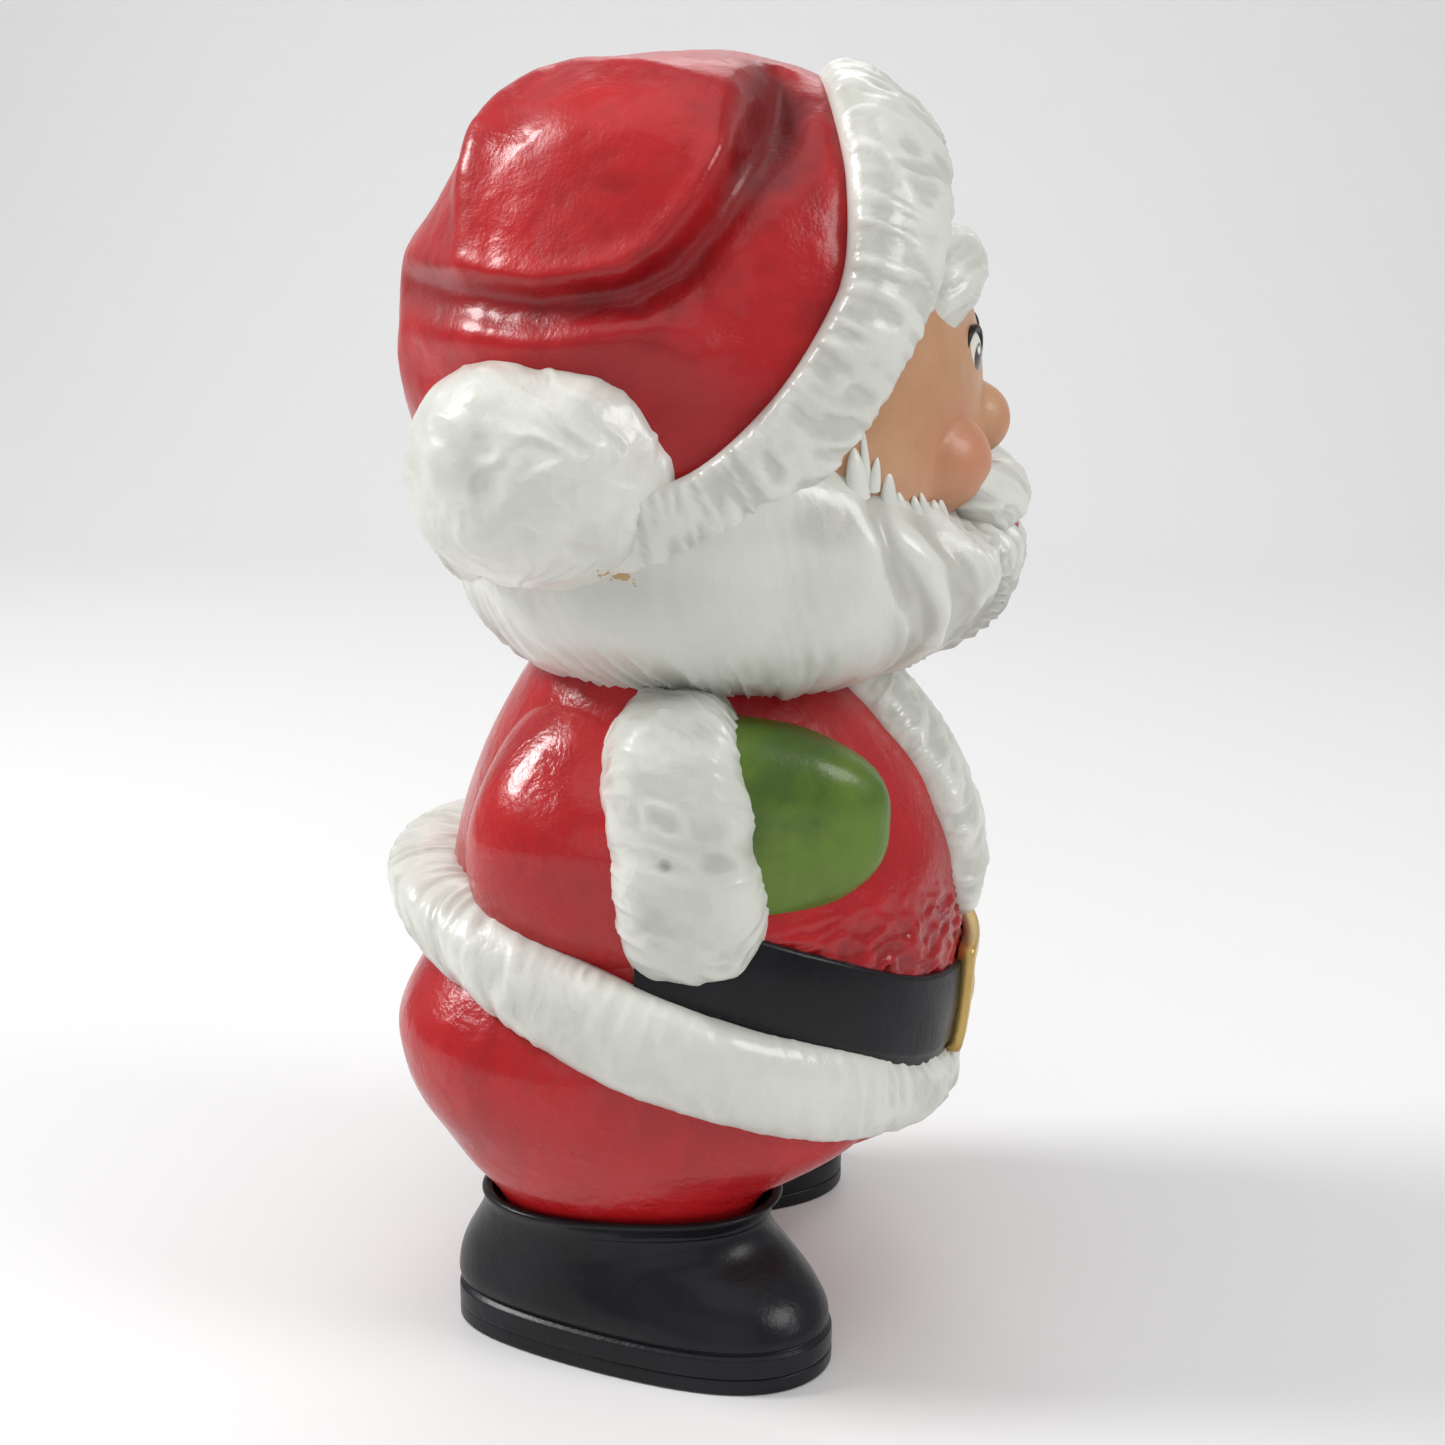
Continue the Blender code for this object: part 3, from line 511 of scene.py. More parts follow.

# each look's groove colour is painted shade, mixed into carved recesses by the groove share
redLook = {
    "light": (0.50, 0.011, 0.014),
    "deep": (0.36, 0.006, 0.010),
    "grooveShadeColour": (0.16, 0.003, 0.005),
    "patch": 16.0,
    "brush": 190.0,
    "brushShare": 0.35,
    "ripple": 0.001,
    "pitting": 0.00008,
    "roughLow": 0.22,
    "roughHigh": 0.36,
    "specular": 0.36,
    "coat": 0.3,
    "coatRoughness": 0.08,
}
whiteLook = {
    "light": (0.75, 0.755, 0.70),
    "deep": (0.67, 0.68, 0.62),
    "grooveShadeColour": (0.38, 0.375, 0.32),
    "patch": 20.0,
    "grooveShadeShare": 0.55,
    "ripple": 0.0007,
    "pitting": 0.00005,
    "roughLow": 0.28,
    "roughHigh": 0.45,
    "coat": 0.3,
}
blackLook = {
    "light": (0.010, 0.011, 0.015),
    "deep": (0.005, 0.005, 0.007),
    "grooveShadeColour": (0.004, 0.004, 0.004),
    "ripple": 0.0003,
    "roughLow": 0.30,
    "roughHigh": 0.42,
    "specular": 0.22,
    "coat": 0.08,
    "coatRoughness": 0.2,
}
greenLook = {
    "light": (0.115, 0.20, 0.018),
    "deep": (0.058, 0.115, 0.013),
    "grooveShadeColour": (0.03, 0.08, 0.012),
    "patch": 30.0,
    "ripple": 0.00035,
    "roughLow": 0.30,
    "roughHigh": 0.46,
    "specular": 0.36,
    "coat": 0.16,
}
skinLook = {
    "light": (0.56, 0.31, 0.17),
    "deep": (0.49, 0.25, 0.13),
    "grooveShadeColour": (0.34, 0.12, 0.05),
    "patch": 26.0,
    "brush": 240.0,
    "ripple": 0.0003,
    "roughLow": 0.38,
    "roughHigh": 0.5,
    "coat": 0.1,
}
goldLook = {
    "light": (0.62, 0.42, 0.13),
    "deep": (0.42, 0.27, 0.08),
    "grooveShadeColour": (0.42, 0.27, 0.08),
    "ripple": 0.0003,
    "roughLow": 0.3,
    "roughHigh": 0.45,
    "metallic": 0.75,
    "coat": 0.2,
}

# the hat's red is duller and more uneven, with strong painted shade dark in its folds
hatLook = {
    **redLook,
    "grooveShadeShare": 0.95,
    "ripple": 0.0007,
    "pitting": 0.0001,
    "roughLow": 0.3,
    "roughHigh": 0.46,
    "specular": 0.32,
    "coat": 0.22,
    "coatRoughness": 0.1,
}

redGlaze = glazed("redGlaze", redLook)
hatGlaze = glazed("hatGlaze", hatLook)
whiteGlaze = glazed("whiteGlaze", whiteLook)
blackGlaze = glazed("blackGlaze", blackLook)
greenGlaze = glazed("greenGlaze", greenLook)
goldPaint = glazed("goldPaint", goldLook)
print("materials ready")


# Head

headCentre = np.array((0.0, -9.0, 278.0))

hatValues = {
    "radii": (71.0, 79.0, 88.0),
    "boxiness": 2.25,
    "tuck": 28.0,
    "tuckRun": 12.0,
    "rows": 210,
    "around": 330,
    "clothBumps": 0.35,
    # the folded tip lies on the right side: its edge as (forward, up) seen from there
    "flapEdge": (
        (-95.0, 309.0),
        (-43.0, 306.0),
        (-20.0, 309.5),
        (-10.0, 316.0),
        (-1.0, 327.0),
        (7.0, 341.0),
        (8.0, 355.0),
        (10.0, 375.0),
    ),
    "flapRise": 4.5,
    "flapLean": 6.0,
    "lip": 1.4,
    "valley": 4.6,
    "hollow": (-30.0, 334.0),
    "hollowSize": (28.0, 16.0),
    "hollowDepth": 3.4,
    "rollLine": ((-95.0, 294.0), (-40.0, 296.0), (-18.0, 297.0), (-2.0, 291.0)),
    "rollRise": 5.0,
    "rollSpread": 9.5,
    "pocket": (17.0, 349.0),
    "pocketSize": (8.0, 13.0),
    "pocketDepth": 11.5,
    # the ridge along the fold's top as (right, forward, up), with its rise
    "crest": (
        ((59.0, -67.0, 298.0), 0.5),
        ((54.0, -67.0, 313.0), 4.5),
        ((47.0, -66.0, 326.0), 7.2),
        ((35.0, -65.0, 340.0), 9.6),
        ((24.0, -63.0, 349.0), 10.4),
        ((17.0, -55.0, 356.0), 8.4),
        ((16.0, -43.0, 361.0), 4.6),
        ((20.0, -30.0, 362.0), 2.4),
        ((27.0, -15.0, 361.0), 1.8),
        ((33.0, -2.0, 358.0), 0.6),
    ),
    "crestSpread": 4.3,
    # round swellings behind as (right, forward, up), rise and spread
    "bumps": (((12.0, -86.0, 307.0), 4.5, 15.0), ((20.0, -86.0, 282.0), 3.0, 13.0)),
}

bandValues = {
    "halfWidth": 13.0,
    "topExtra": 6.0,
    "proud": 5.6,
    "steps": 560,
    "around": 56,
    # middle line on the left side, from the top of the head to the back
    "line": (
        (0.0, 44.5, 352.0),
        (22.0, 48.0, 346.0),
        (42.0, 51.0, 329.0),
        (55.5, 48.5, 306.0),
        (64.5, 39.0, 286.0),
        (70.0, 24.0, 266.0),
        (72.5, 4.0, 249.0),
        (70.0, -24.0, 239.0),
        (55.0, -52.0, 234.0),
        (30.0, -72.0, 230.0),
        (0.0, -80.0, 229.0),
    ),
}


def besideLine(forward, up, line):
    # distance to a line of points in the side view, positive on its upper or rear side
    nearest = np.full(np.shape(forward), 1e9)
    signed = np.zeros(np.shape(forward))
    for (f, z), (nextF, nextZ) in zip(line[:-1], line[1:]):
        df, dz = nextF - f, nextZ - z
        share = np.clip(((forward - f) * df + (up - z) * dz) / (df * df + dz * dz), 0.0, 1.0)
        away = np.hypot(forward - f - share * df, up - z - share * dz)
        side = df * (up - z) - dz * (forward - f)
        signed = np.where(away < nearest, np.where(side < 0.0, -away, away), signed)
        nearest = np.minimum(nearest, away)
    return signed


def hatAside(place):
    # how far the folded tip stands out sideways from the crown: a flap and the roll below it,
    # less the valley and the deep pocket ahead of them
    values = hatValues
    right, forward, up = -place[..., 0], place[..., 1], place[..., 2]
    inside = besideLine(forward, up, values["flapEdge"])
    # the flap leans out more towards its top and back, and ends in a soft edge
    lean = values["flapLean"] * smoothStep(318.0, 352.0, up) * smoothStep(14.0, -12.0, forward)
    rise = (values["flapRise"] + lean) * smoothStep(-4.5, 3.5, inside)
    rise = rise + values["lip"] * bell(inside - 3.5, 3.5) - values["valley"] * bell(inside + 7.0, 5.0)
    hollow = ovalAway(forward, up, values["hollow"], values["hollowSize"])
    rise = rise - values["hollowDepth"] * np.exp(-hollow)
    roll = bell(besideLine(forward, up, values["rollLine"]), values["rollSpread"])
    rise = rise + values["rollRise"] * roll * smoothStep(5.0, -8.0, inside)
    pocket = ovalAway(forward, up, values["pocket"], values["pocketSize"])
    # all of it fades out towards the middle of the head
    return (rise - values["pocketDepth"] * np.exp(-pocket)) * smoothStep(6.0, 26.0, right)


def hatLift(place):
    # how far the fold's top ridge and the swellings behind it stand up from the crown
    values = hatValues
    flipped = mirrored(place)
    nearest, height = np.full(place.shape[:-1], 1e9), np.zeros(place.shape[:-1])
    crest = values["crest"]
    for (start, low), (end, high) in zip(crest[:-1], crest[1:]):
        step = np.asarray(end) - np.asarray(start)
        share = np.clip(((flipped - start) @ step) / (step @ step), 0.0, 1.0)
        away = np.linalg.norm(flipped - start - share[..., None] * step, axis=-1)
        height = np.where(away < nearest, low + (high - low) * share, height)
        nearest = np.minimum(nearest, away)
    # the ridge is rounded over its innermost 2 mm
    rise = height * np.exp(-(np.sqrt(nearest**2 + 4.0) - 2.0) / values["crestSpread"])
    for spot, high, spread in values["bumps"]:
        rise = rise + high * bell(np.linalg.norm(flipped - np.asarray(spot), axis=-1), spread)
    return rise


def makeHat():
    # a rounded block raised by the folded tip, and tucked in ahead of the fur band
    values = hatValues
    way = directions(count(values["rows"]), count(values["around"]))
    reach = roundedReach(way, values["radii"], values["boxiness"])
    place = headCentre + way * reach[..., None]
    line = np.array(bandValues["line"])[::-1]
    edge = np.interp(place[..., 2], line[:-1, 2], line[:-1, 1])
    ahead = np.clip((place[..., 1] - edge) / values["tuckRun"], 0.0, 1.0)
    reach = reach + hatLift(place) - values["tuck"] * ahead
    rings = headCentre + way * reach[..., None]
    rings[..., 0] -= hatAside(place)
    x, y, z = np.moveaxis(rings, -1, 0)
    cloth = lumpy(rings, 13.0, 3.0) + 0.5 * lumpy(rings, 4.0, 4.0)
    # painted shade: darker colour in the valley beside the flap and in its pocket, where shadow falls, and
    # a little in the cloth's dents
    inside = besideLine(y, z, values["flapEdge"])
    pocket = ovalAway(y, z, values["pocket"], values["pocketSize"])
    paintedShade = (0.65 * bell(inside + 5.5, 6.0) + np.exp(-0.7 * pocket)) * smoothStep(6.0, 26.0, -x)
    grooveShade = np.clip(smoothStep(0.15, 0.9, -cloth) * 0.3 + paintedShade, 0.0, 1.0)
    rings = raised(rings, values["clothBumps"] * cloth)
    return surface("hat", rings, hatGlaze, grooveShade=grooveShade)


def makeHatBand():
    # a flat-bottomed fur roll on a closed line round the face and the back of the head
    values = bandValues
    half = np.array(values["line"])
    line = np.vstack((half, mirrored(half[-2:0:-1]), half[:1]))
    # two points more at either end, so that the curve closes without a kink
    line = np.vstack((line[-3:-1], line, line[1:3]))
    stations = arcLength(line)
    at = np.linspace(stations[2], stations[-3], count(values["steps"]), endpoint=False)
    middle = eased(stations, line, at)
    outward, across = loopFrames(middle, headCentre)
    middle = middle - outward * values["proud"] * 0.4
    up = middle[:, 2]
    # it is wider over the forehead, and thicker there than at the neck
    band = values["halfWidth"] + values["topExtra"] * np.clip((up - 300.0) / 45.0, 0.0, 1.0)
    thick = values["proud"] * (1.15 + 0.35 * smoothStep(265.0, 300.0, up))
    rings, side, proud = rollAlong(middle, outward, across, band, thick, count(values["around"]))
    arc = loopArc(middle)
    height = furHeight(side + 0.3 * arc, arc + 0.12 * side, 11.0, 14.0, 3.8, 0.95, 0.3)
    return furred("hatBand", rings, height, smoothStep(-2.0, 3.0, proud), True, -0.6, 0.8)


pompomValues = {
    "centre": (-56.0, -43.0, 258.0),
    "radii": (30.5, 38.0, 31.5),
    "rows": 150,
    "around": 210,
    "boxiness": 2.2,
}


def blockGrid(values):
    # the rounded block that a dictionary of values describes
    return ballGrid(
        values["centre"], values["radii"], values["rows"], values["around"], values["boxiness"]
    )


def makePompom():
    # a rounded ball with lumps and short curls, each a noise of the place on it
    offset, centre = blockGrid(pompomValues)
    x, y, z = np.moveaxis(offset, -1, 0)
    curl = lumpy(offset, 14.0, 25.0) * 9.0
    curls = furHeight(z + curl, y - 0.6 * curl + 0.5 * x, 23.0, 9.0, 5.2, 1.3, 0.35)
    height = 1.5 * lumpy(offset, 15.0, 21.0) + 0.45 * lumpy(offset, 5.5, 29.0)
    height = height + curls * (0.45 + 0.55 * lumpy(offset, 12.0, 27.0))
    rings = raised(centre + offset, height)
    material = glazed("pompomGlaze", whiteLook, clayChip)
    # painted shade in the deeper dents between the curls
    grooveShade = smoothStep(-0.2, -1.6, height) * 0.5
    return surface("pompom", rings, material, grooveShade=grooveShade)


beardValues = {
    "centre": (0.0, 5.0, 230.0),
    "radii": (74.5, 81.0, 44.0),
    "dip": 0.62,
    "crease": ((53.0, 225.0), (49.5, 233.0), (48.5, 241.0), (44.0, 253.0)),
    "rows": 190,
    "around": 500,
    "boxiness": 2.3,
    "sidePower": 3.4,
    "lockWrap": 74.0,
    "frontCut": 0.13,
}


def makeBeard():
    # hair and beard round the lower head: a rounded block that dips under the mouth, combed
    # down in locks that are deep in front and at the bottom edge and nearly smooth at the sides
    values = beardValues
    offset, centre = blockGrid(values)
    left, forward, up = np.moveaxis(offset, -1, 0)
    turn = np.arctan2(left, forward)
    ahead = np.clip((forward - 15.0) / 50.0, 0.0, 1.0)
    above = up > 0.0
    # the upper half of the sides is fuller, so that it meets the hat's band without a crease
    full = 1.0 + 0.03 * smoothStep(0.0, 20.0, up) * smoothStep(38.0, 26.0, up) * (1.0 - ahead)
    level = np.clip(np.abs(up) / values["radii"][2], 0.0, 0.97)
    power, boxiness = values["sidePower"], values["boxiness"]
    boxy = (1.0 - level**power) ** (1 / power) / (1.0 - level**boxiness) ** (1 / boxiness)
    boxy = (np.minimum(boxy, 1.35) - 1.0) * above * (1.0 - ahead) * smoothStep(-20.0, 8.0, forward)
    # nothing of it stands out above the band behind the ears
    slim = 1.0 - 0.05 * smoothStep(14.0, 26.0, up) * smoothStep(0.0, -30.0, forward)
    shorter = 1.0 - values["frontCut"] * smoothStep(5.0, 55.0, forward)
    shaped = np.array(offset)
    shaped[..., :2] *= (full * (1.0 + boxy) * slim)[..., None]
    shaped[..., 2] *= np.where(above, 1.0 - values["dip"] * ahead, shorter)
    rings = centre + shaped
    # the locks run down and a little round, and sway from side to side
    around = turn * values["lockWrap"]
    high = shaped[..., 2]
    sway = 7.0 * np.sin(turn * 5.0 + 0.6) + 5.0 * noise(turn * 3.0, high / 30.0, 0.0, 31.0)
    comb, across = high + 0.3 * around, around + sway + 0.25 * high
    locks = strokes(comb, across, 34.0, 5.8, 33.0) - 0.5
    fine = strokes(comb, across, 14.0, 3.0, 35.0) - 0.5
    front = smoothStep(40.0, 56.0, forward)
    low = smoothStep(-12.0, -34.0, high)
    behind = smoothStep(-40.0, -66.0, forward)
    amount = np.clip(0.05 + 0.9 * front + 0.55 * low + 0.4 * behind, 0.0, 1.0)
    # a crease and a shallow hollow part the smooth side hair from the front locks
    _, y, z = np.moveaxis(rings, -1, 0)
    crease = besideLine(y, z, values["crease"])
    part = 0.3 * bell(crease - 4.0, 3.5) - 1.7 * bell(crease, 2.0)
    hollow = 1.6 * np.exp(-ovalAway(y, z, (33.0, 247.0), (11.0, 7.0)))
    deep = (2.4 + 1.1 * front) * (1.0 - 0.5 * front * low)
    height = amount * (deep * locks + (0.9 + 0.4 * front) * fine) + part - hollow
    height = height + 0.35 * noise(turn * 4.0, high / 16.0, 0.0, 37.0)
    material = glazed("beardGlaze", whiteLook, clayChip)
    # painted shade down in the locks' grooves
    grooveShade = smoothStep(0.2, -1.2, height)
    return surface("beard", raised(rings, height), material, grooveShade=grooveShade)


faceValues = {
    "centre": (0.0, 8.0, 270.0),
    "radii": (64.0, 66.0, 68.0),
    "boxiness": 2.3,
    "noseRadius": 10.5,
    "cheekRadius": 15.0,
    "cheekApart": 27.0,
    "fillet": 1.1,
    # spot as (side, up) in metres, radius and share
    "blushSpots": (((0.033, 0.259), 0.022, 0.26), ((0.0, 0.263), 0.013, 0.22)),
    "blush": (0.62, 0.10, 0.07),
    "eyeApart": 19.0,
    "eyeHeight": 285.0,
    "eyeRadii": (6.6, 3.0, 7.2),
    "eyeTurn": 19.0,
    "eyeWhite": (0.78, 0.76, 0.70),
    # iris, pupil and highlight: place from the eye's middle and radius in metres, and colour
    "eyeSpots": (
        ((0.0, -0.0006), 0.0040, (0.055, 0.022, 0.010)),
        ((0.0, -0.0006), 0.0024, (0.003, 0.003, 0.003)),
        ((0.0012, 0.0014), 0.0011, (0.85, 0.85, 0.82)),
    ),
}
faceCentre = np.asarray(faceValues["centre"])
noseForward = faceCentre[1] + faceValues["radii"][1]
noseUp = faceCentre[2] - 5.0


def besideNose(sign, place):
    # a place given from the nose's, on the left (1) or mirrored on the right (-1)
    return sign * place[0], noseForward + place[1], noseUp + place[2]


def frontView(tree):
    # how far to either side of the middle a place is, and how high
    parts = tree.nodes.new("ShaderNodeSeparateXYZ")
    link(tree, objectPlace(tree), parts.inputs[0])
    return mathNode(tree, "ABSOLUTE", parts.outputs["X"]), parts.outputs["Z"]


def spotAway(tree, side, up, spot):
    # distance from a spot in the front view
    dx = mathNode(tree, "SUBTRACT", side, spot[0])
    dz = mathNode(tree, "SUBTRACT", up, spot[1])
    dx, dz = mathNode(tree, "MULTIPLY", dx, dx), mathNode(tree, "MULTIPLY", dz, dz)
    return mathNode(tree, "SQRT", mathNode(tree, "ADD", dx, dz))


def skinMaterial():
    # flesh paint with a rosy blush on each cheek and on the nose
    material = glazed("skinPaint", skinLook)
    tree = material.node_tree
    painted = tree.nodes["Principled BSDF"].inputs["Base Color"]
    colour = painted.links[0].from_socket
    side, up = frontView(tree)
    for spot, radius, share in faceValues["blushSpots"]:
        mask = rangeNode(tree, spotAway(tree, side, up, spot), radius, radius * 0.2, smooth=True)
        colour = mixColour(tree, mathNode(tree, "MULTIPLY", mask, share), colour, faceValues["blush"])
    link(tree, colour, painted)
    return material


def faceReach(way):
    # soft maximum of the face's block and its nose and cheeks, as balls seen from its middle
    nose, cheek = faceValues["noseRadius"], faceValues["cheekRadius"]
    balls = [(besideNose(1.0, (0.0, -2.5, 0.0)), (nose + 1.0, nose, nose))]
    for sign in (1.0, -1.0):
        place = besideNose(sign, (faceValues["cheekApart"], -13.0, -8.0))
        balls.append((place, (cheek + 1.0, cheek, cheek - 1.0)))
    reaches = [roundedReach(way, faceValues["radii"], faceValues["boxiness"])]
    for middle, radii in balls:
        # the far root of the quadratic for where each way leaves the ball
        start = (np.asarray(middle) - faceCentre) / np.asarray(radii)
        along = way / np.asarray(radii)
        a = (along * along).sum(-1)
        b = (along * start).sum(-1)
        c = (start * start).sum() - 1.0
        root = b * b - a * c
        far = np.where(root > 0.0, (b + np.sqrt(np.maximum(root, 0.0))) / a, 0.0)
        edge = smoothStep(0.0, 0.0012, root)
        reaches.append(far * edge + (1.0 - edge) * 0.6 * reaches[0])
    return softMax(reaches, faceValues["fillet"])


def makeFace():
    # the face is finer than its reach needs, for the folds beside the nose
    way = directions(count(170), count(300))
    rings = faceCentre + way * faceReach(way)[..., None]
    return surface("face", rings, skinMaterial())


def eyeMaterial():
    # painted eye: white, brown iris, black pupil and one small highlight
    material, tree, shader = newMaterial("eyePaint")
    shader.inputs["Roughness"].default_value = 0.22
    shader.inputs["Coat Weight"].default_value = 0.5
    side, up = frontView(tree)
    colour = faceValues["eyeWhite"]
    for (dx, dz), radius, paint in faceValues["eyeSpots"]:
        spot = (faceValues["eyeApart"] * 0.001 + dx, faceValues["eyeHeight"] * 0.001 + dz)
        mask = rangeNode(tree, spotAway(tree, side, up, spot), radius + 0.00025, radius - 0.00025)
        colour = mixColour(tree, mask, colour, paint)
    link(tree, colour, shader.inputs["Base Color"])
    return material


def faceFront(left, up):
    # how far forward the face's surface lies at a place on it, by eight corrections of a guess
    forward = 60.0
    for _ in range(8):
        offset = np.array((left, forward, up)) - faceCentre
        reach = float(faceReach(unit(offset)[None])[0])
        forward += (reach - np.linalg.norm(offset)) * 0.9
    return forward


def makeEyes():
    # each eye is a flat ball set into the face, with a lid line over it: a tapered tube on a
    # half ring
    values = faceValues
    apart, up, radii = values["eyeApart"], values["eyeHeight"], values["eyeRadii"]
    paint = eyeMaterial()
    lashLook = {**blackLook, "light": (0.02, 0.012, 0.008), "deep": (0.01, 0.006, 0.004)}
    lashPaint = glazed("lashPaint", lashLook)
    for name, sign in (("Left", 1.0), ("Right", -1.0)):
        place = (sign * apart, faceFront(sign * apart, up) - 2.0, up)
        offset, centre = ballGrid(place, radii, 40, 60)
        lean = -sign * values["eyeTurn"]
        surface("eye" + name, centre + turned(offset, lean, 2), paint)
        turn = np.linspace(-0.15, math.pi + 0.15, count(48))
        wide, high = radii[0] * 1.03, radii[2] * 1.03
        line = np.stack((wide * np.cos(turn), np.full(len(turn), 1.4), high * np.sin(turn)), axis=-1)
        line = turned(line, lean, 2) + centre
        along = unit(np.gradient(line, axis=0))
        out = unit(line - centre)
        thick = 0.25 + 0.85 * np.sin(np.clip(turn, 0.0, math.pi))
        rings, _, _ = rollAlong(line, out, np.cross(along, out), thick, thick, 12, 2.0)
        surface("lash" + name, rings, lashPaint)


# each piece's place from the nose's, radii, grid counts and boxiness
faceHairValues = {
    "brow": ((21.0, -14.0, 40.0), (21.0, 12.0, 11.5), 70, 100, 2.2),
    "browBend": 0.010,
    "browTilt": 32.0,
    "moustache": ((17.0, 0.5, -20.0), (21.0, 10.5, 10.5), 80, 110, 2.2),
    "moustacheBend": 0.012,
    "moustacheTilt": 16.0,
    "taper": 0.25,
    "turn": 24.0,
    "lip": ((0.0, 7.0, -30.5), (8.0, 4.5, 3.2), 30, 44),
    "lipBend": 0.03,
}


def makeFaceHair():
    # bushy brows and a drooping moustache over a small lip: bent balls, the hair combed
    values = faceHairValues
    for name, sign in (("Left", 1.0), ("Right", -1.0)):
        place, *grid = values["brow"]
        offset, middle = ballGrid(besideNose(sign, place), *grid)
        offset[..., 2] -= values["browBend"] * offset[..., 0] ** 2
        x, _, z = np.moveaxis(offset, -1, 0)
        height = furHeight(sign * x * 0.7 + z, x * 0.6 - sign * z, 41.0 + sign, 15.0, 4.2, 0.8, 0.25)
        brow = turned(turned(offset, -sign * values["browTilt"], 1), -sign * values["turn"], 2)
        furred("brow" + name, brow + middle, height)
        place, *grid = values["moustache"]
        offset, middle = ballGrid(besideNose(sign, place), *grid)
        outer = np.clip(sign * offset[..., :1] / grid[0][0], 0.0, 1.0)
        offset[..., 1:] *= 1.0 - values["taper"] * outer
        offset[..., 2] += values["moustacheBend"] * offset[..., 0] ** 2
        x, _, z = np.moveaxis(offset, -1, 0)
        height = furHeight(x, z - 0.3 * sign * x, 45.0 + sign, 16.0, 3.6, 0.9, 0.3)
        wing = turned(turned(offset, sign * values["moustacheTilt"], 1), -sign * values["turn"], 2)
        furred("moustache" + name, wing + middle, height)
    place, *grid = values["lip"]
    offset, middle = ballGrid(besideNose(1.0, place), *grid)
    offset[..., 2] += values["lipBend"] * offset[..., 0] ** 2
    lipLook = {**redLook, "light": (0.45, 0.03, 0.03), "deep": (0.35, 0.02, 0.02)}
    surface("lip", offset + middle, glazed("lipPaint", lipLook))


# locks of hair that reach up over the cheek: base, tip as (left, forward, up) and half width
wispValues = (
    ((58.0, 40.0, 251.0), (58.5, 38.5, 265.0), 3.6),
    ((56.5, 42.5, 254.0), (57.5, 40.5, 272.0), 1.4),
    ((56.0, 44.0, 253.0), (55.8, 44.8, 262.0), 1.9),
    ((52.5, 48.0, 243.0), (52.8, 47.8, 258.0), 3.2),
    ((49.0, 52.5, 243.0), (50.6, 50.4, 252.0), 2.3),
    ((46.0, 56.0, 243.0), (47.2, 54.6, 250.5), 2.1),
    ((43.5, 58.5, 243.0), (45.2, 56.5, 251.0), 1.8),
    ((40.5, 61.0, 243.0), (41.8, 60.0, 248.5), 2.1),
    ((37.5, 63.0, 242.0), (39.4, 61.8, 248.5), 1.8),
)


def makeWisps():
    # each lock is an oval section that tapers from its base to a bent point
    for number, (base, tip, half) in enumerate(wispValues):
        share = np.linspace(0.0, 1.0, count(36))
        base, tip = np.array(base), np.array(tip)
        line = base + (tip - base) * share[:, None]
        line[:, 0] += 0.8 * np.sin(math.pi * share)
        along = unit(np.gradient(line, axis=0))
        out = unit(np.cross(along, (-0.6, 0.8, 0.0)))
        wide = half * np.sqrt(np.clip(1.0 - share**1.5, 0.02, 1.0))
        rings, _, _ = rollAlong(line, out, np.cross(along, out), wide, wide * 0.7, 26, 2.0)
        pair("wisp%d" % number, rings, whiteGlaze)


makeHat()
makeHatBand()
makePompom()
makeBeard()
makeWisps()
makeFace()
makeEyes()
makeFaceHair()
print("head made")


# Coat, belt and fur

coatValues = {
    "bottom": 62.0,
    "top": 216.0,
    "halfWidth": 73.0,
    "front": 71.0,
    "back": 80.0,
    "neckHalfWidth": 36.0,
    "neckHalfDepth": 32.0,
    "stations": (0.0, 0.09, 0.27, 0.45, 0.57, 0.70, 0.80, 0.90, 1.0),
    "frontSwell": (0.86, 0.94, 1.0, 1.0, 0.95, 0.81, 0.64, 0.46, 0.24),
    "backSwell": (0.86, 0.94, 1.0, 1.0, 0.96, 0.87, 0.77, 0.64, 0.48),
    "sideSwell": (0.88, 0.96, 1.0, 0.99, 0.94, 0.86, 0.76, 0.63, 0.49),
}


def coatPoints(turn, up, proud):
    # points on the coat at angles from straight ahead: a rounded oval for each height
    values = coatValues
    share = (up - values["bottom"]) / (values["top"] - values["bottom"])
    front = values["front"] * eased(values["stations"], values["frontSwell"], share)
    back = values["back"] * eased(values["stations"], values["backSwell"], share)
    side = values["halfWidth"] * eased(values["stations"], values["sideSwell"], share)
    depth = np.maximum((front + back) / 2, values["neckHalfDepth"])
    width = np.maximum(side, values["neckHalfWidth"])
    across, ahead = ovalRing(turn, width, depth, 2.2, proud)
    return np.stack((across, (front - back) / 2 + ahead, up + 0.0 * across), axis=-1)


def makeCoat():
    # rounded ovals up the coat, with soft dents
    up = np.linspace(coatValues["bottom"], coatValues["top"], count(170))[:, None]
    rings = coatPoints(fullTurn(300)[None, :], up, 0.0)
    x, y, z = np.moveaxis(rings, -1, 0)
    # crinkled cloth on the belly, just above the belt
    belly = smoothStep(5.0, 35.0, y) * smoothStep(98.0, 104.0, z) * smoothStep(142.0, 124.0, z)
    crinkle = strokes(x + 0.6 * z, z - 0.5 * x, 7.0, 3.6, 53.0) - 0.5 + 0.5 * lumpy(rings, 3.2, 54.0)
    rings = raised(rings, 0.5 * lumpy(rings, 17.0, 51.0) + 1.5 * belly * crinkle)
    # painted shade in the hollows of the belly's crinkle
    return surface("coat", rings, redGlaze, grooveShade=belly * smoothStep(0.1, -0.8, crinkle))


trimValues = {
    "halfBand": 21.0,
    "proud": 9.0,
    "top": 200.0,
    "bottom": 119.0,
    "fadeRun": 14.0,
    "steps": 230,
    "around": 60,
}


